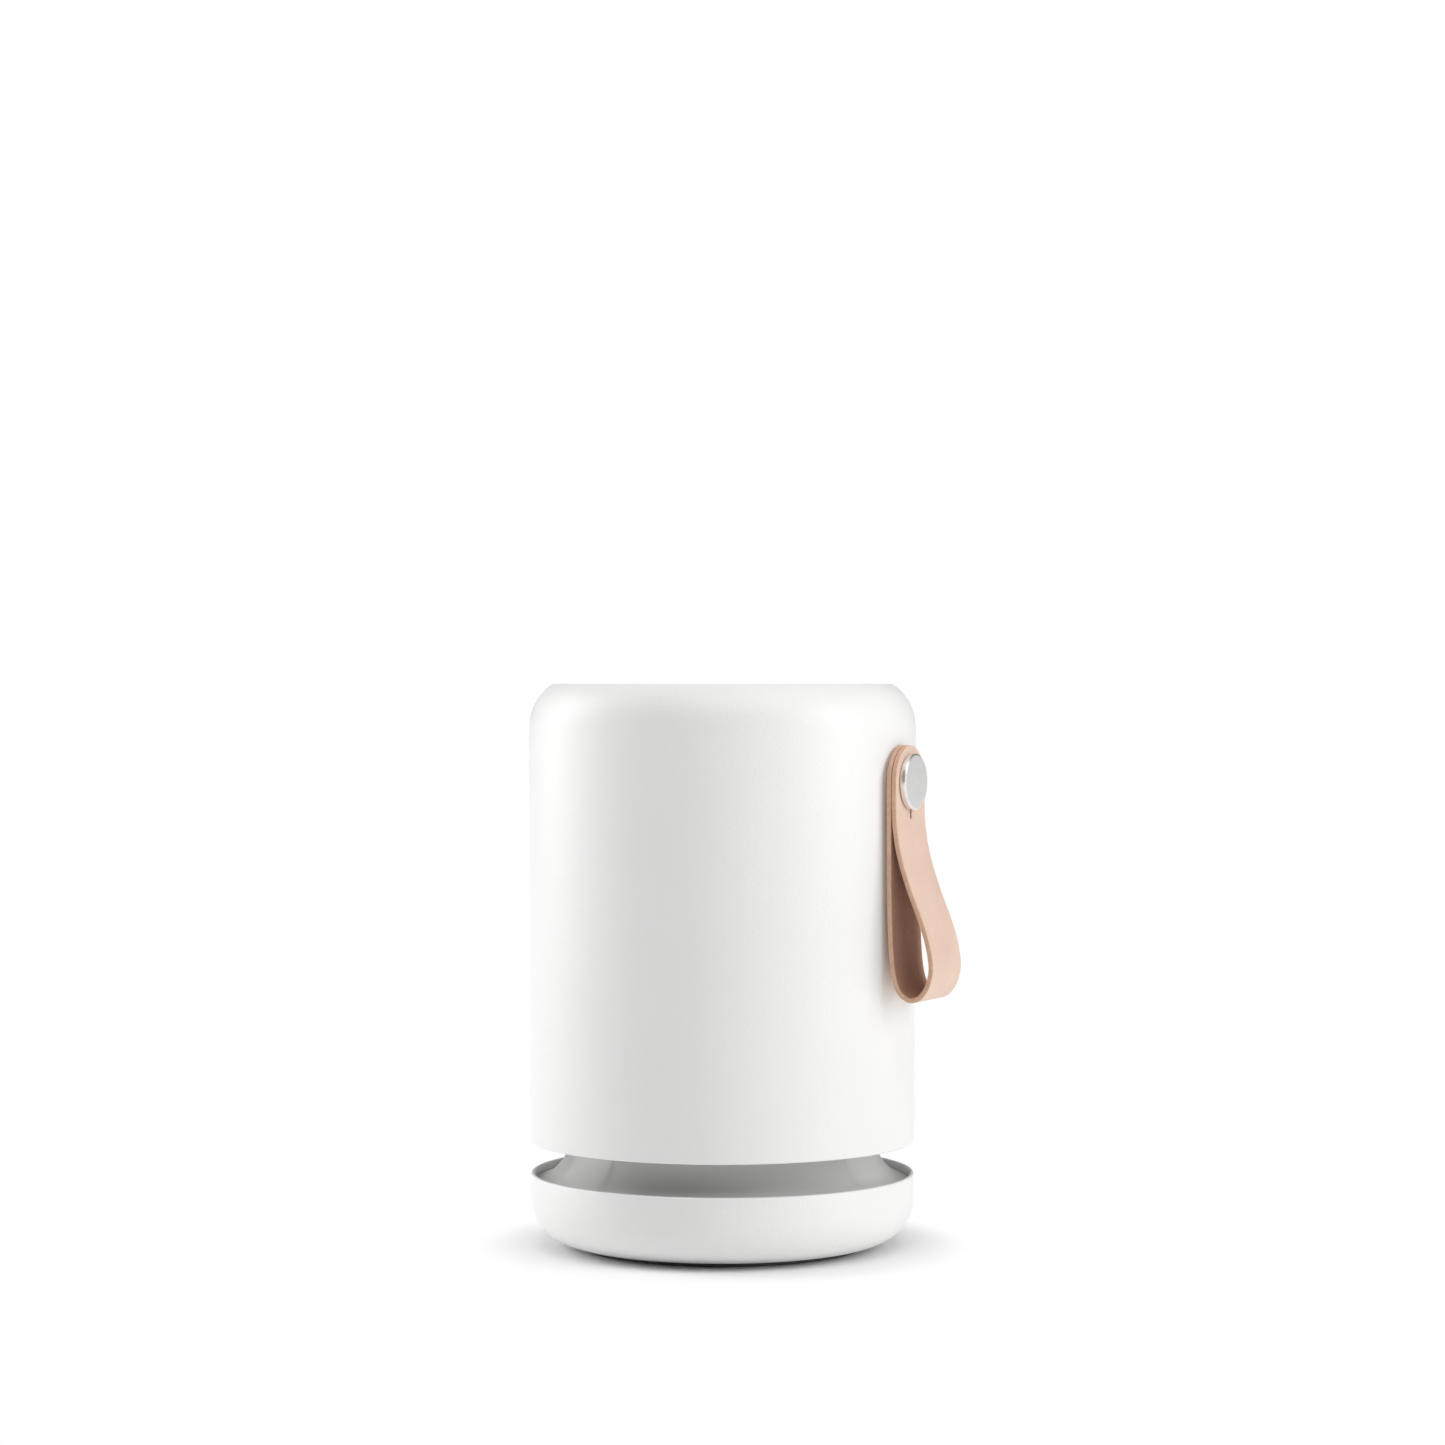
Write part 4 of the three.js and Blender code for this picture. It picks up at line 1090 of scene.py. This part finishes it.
def strap():
    """The strip swept along its route, with the stud's hole and the slit cut in it."""
    route = strap_route()
    bm = bmesh.new()
    rings = []
    for i, p in enumerate(route):
        along = (route[min(i + 1, len(route) - 1)] - route[max(i - 1, 0)]).normalized()
        inward = Vector((-along.y, along.x))
        rise = min(1.0, max(0.0, (p.y - STUD_Z) / STRAP_HALF))
        half = max(STRAP_HALF * math.sqrt(1 - rise * rise), 0.05)
        section = strap_section(half, STRAP_THICK / 2, min(STRAP_CORNER, half * 0.6))
        ring = []
        for y, offset in section:
            at = p + inward * offset
            ring.append(bm.verts.new((at.x * MM, y * MM, at.y * MM)))
        rings.append(ring)
    for ring, following in zip(rings, rings[1:]):
        for i in range(len(ring)):
            j = (i + 1) % len(ring)
            face = bm.faces.new((ring[i], following[i], following[j], ring[j]))
            face.material_index = section_side(i)
    for ring in (rings[0], list(reversed(rings[-1]))):
        bm.faces.new(ring).material_index = EDGE_SLOT
    band = made("strap_fine", bm, 50)
    for material in (GRAIN, FLESH, EDGE):
        band.data.materials.append(material)
    hole = placed(turned("hole", washer(0, STRAP_HOLE_R, 90, 130, 0), 64), STUD_PLACE)
    cut_x, cut_depth = STRAP_LINE[-1][0] + 0.45, 3.6  # through the front layer only
    slit = bmesh.new()
    slit_middle = Matrix.Translation((cut_x * MM, 0, (STUD_Z - SLIT_LENGTH / 2) * MM))
    add_block(slit, (cut_depth, SLIT_WIDTH, SLIT_LENGTH), slit_middle)
    reach = (cut_x - cut_depth / 2, cut_x + cut_depth / 2)
    end = turned("slit_end", washer(0, SLIT_WIDTH / 2, *reach, 0), 32)
    placed(end, Matrix.Translation((0, 0, (STUD_Z - SLIT_LENGTH) * MM)) @ ALONG_X)
    return combine(band, "DIFFERENCE", hole, made("slit", slit), end)


def strap_section(half, depth, corner):
    """The strap's section as (across, inward) points, round from its outer face."""
    flat = [(-half + corner) + 2 * (half - corner) * i / SECTION_FLAT for i in range(SECTION_FLAT)]
    points = [(y, -depth) for y in flat]
    points += arc(half - corner, -depth + corner, corner, -90, 0, SECTION_ROUND)
    points += arc(half - corner, depth - corner, corner, 0, 90, SECTION_ROUND)[:-1]
    points += [(-y, depth) for y in flat]
    points += arc(-half + corner, depth - corner, corner, 90, 180, SECTION_ROUND)
    points += arc(-half + corner, -depth + corner, corner, 180, 270, SECTION_ROUND)[:-1]
    return points


def section_side(i):
    """The material slot of the face that starts at a point of the section."""
    if i < SECTION_FLAT:
        return GRAIN_SLOT
    start = SECTION_FLAT + 2 * SECTION_ROUND + 1
    if start <= i < start + SECTION_FLAT:
        return FLESH_SLOT
    return EDGE_SLOT


fitted(strap(), "strap", "strap", "strap_leather")
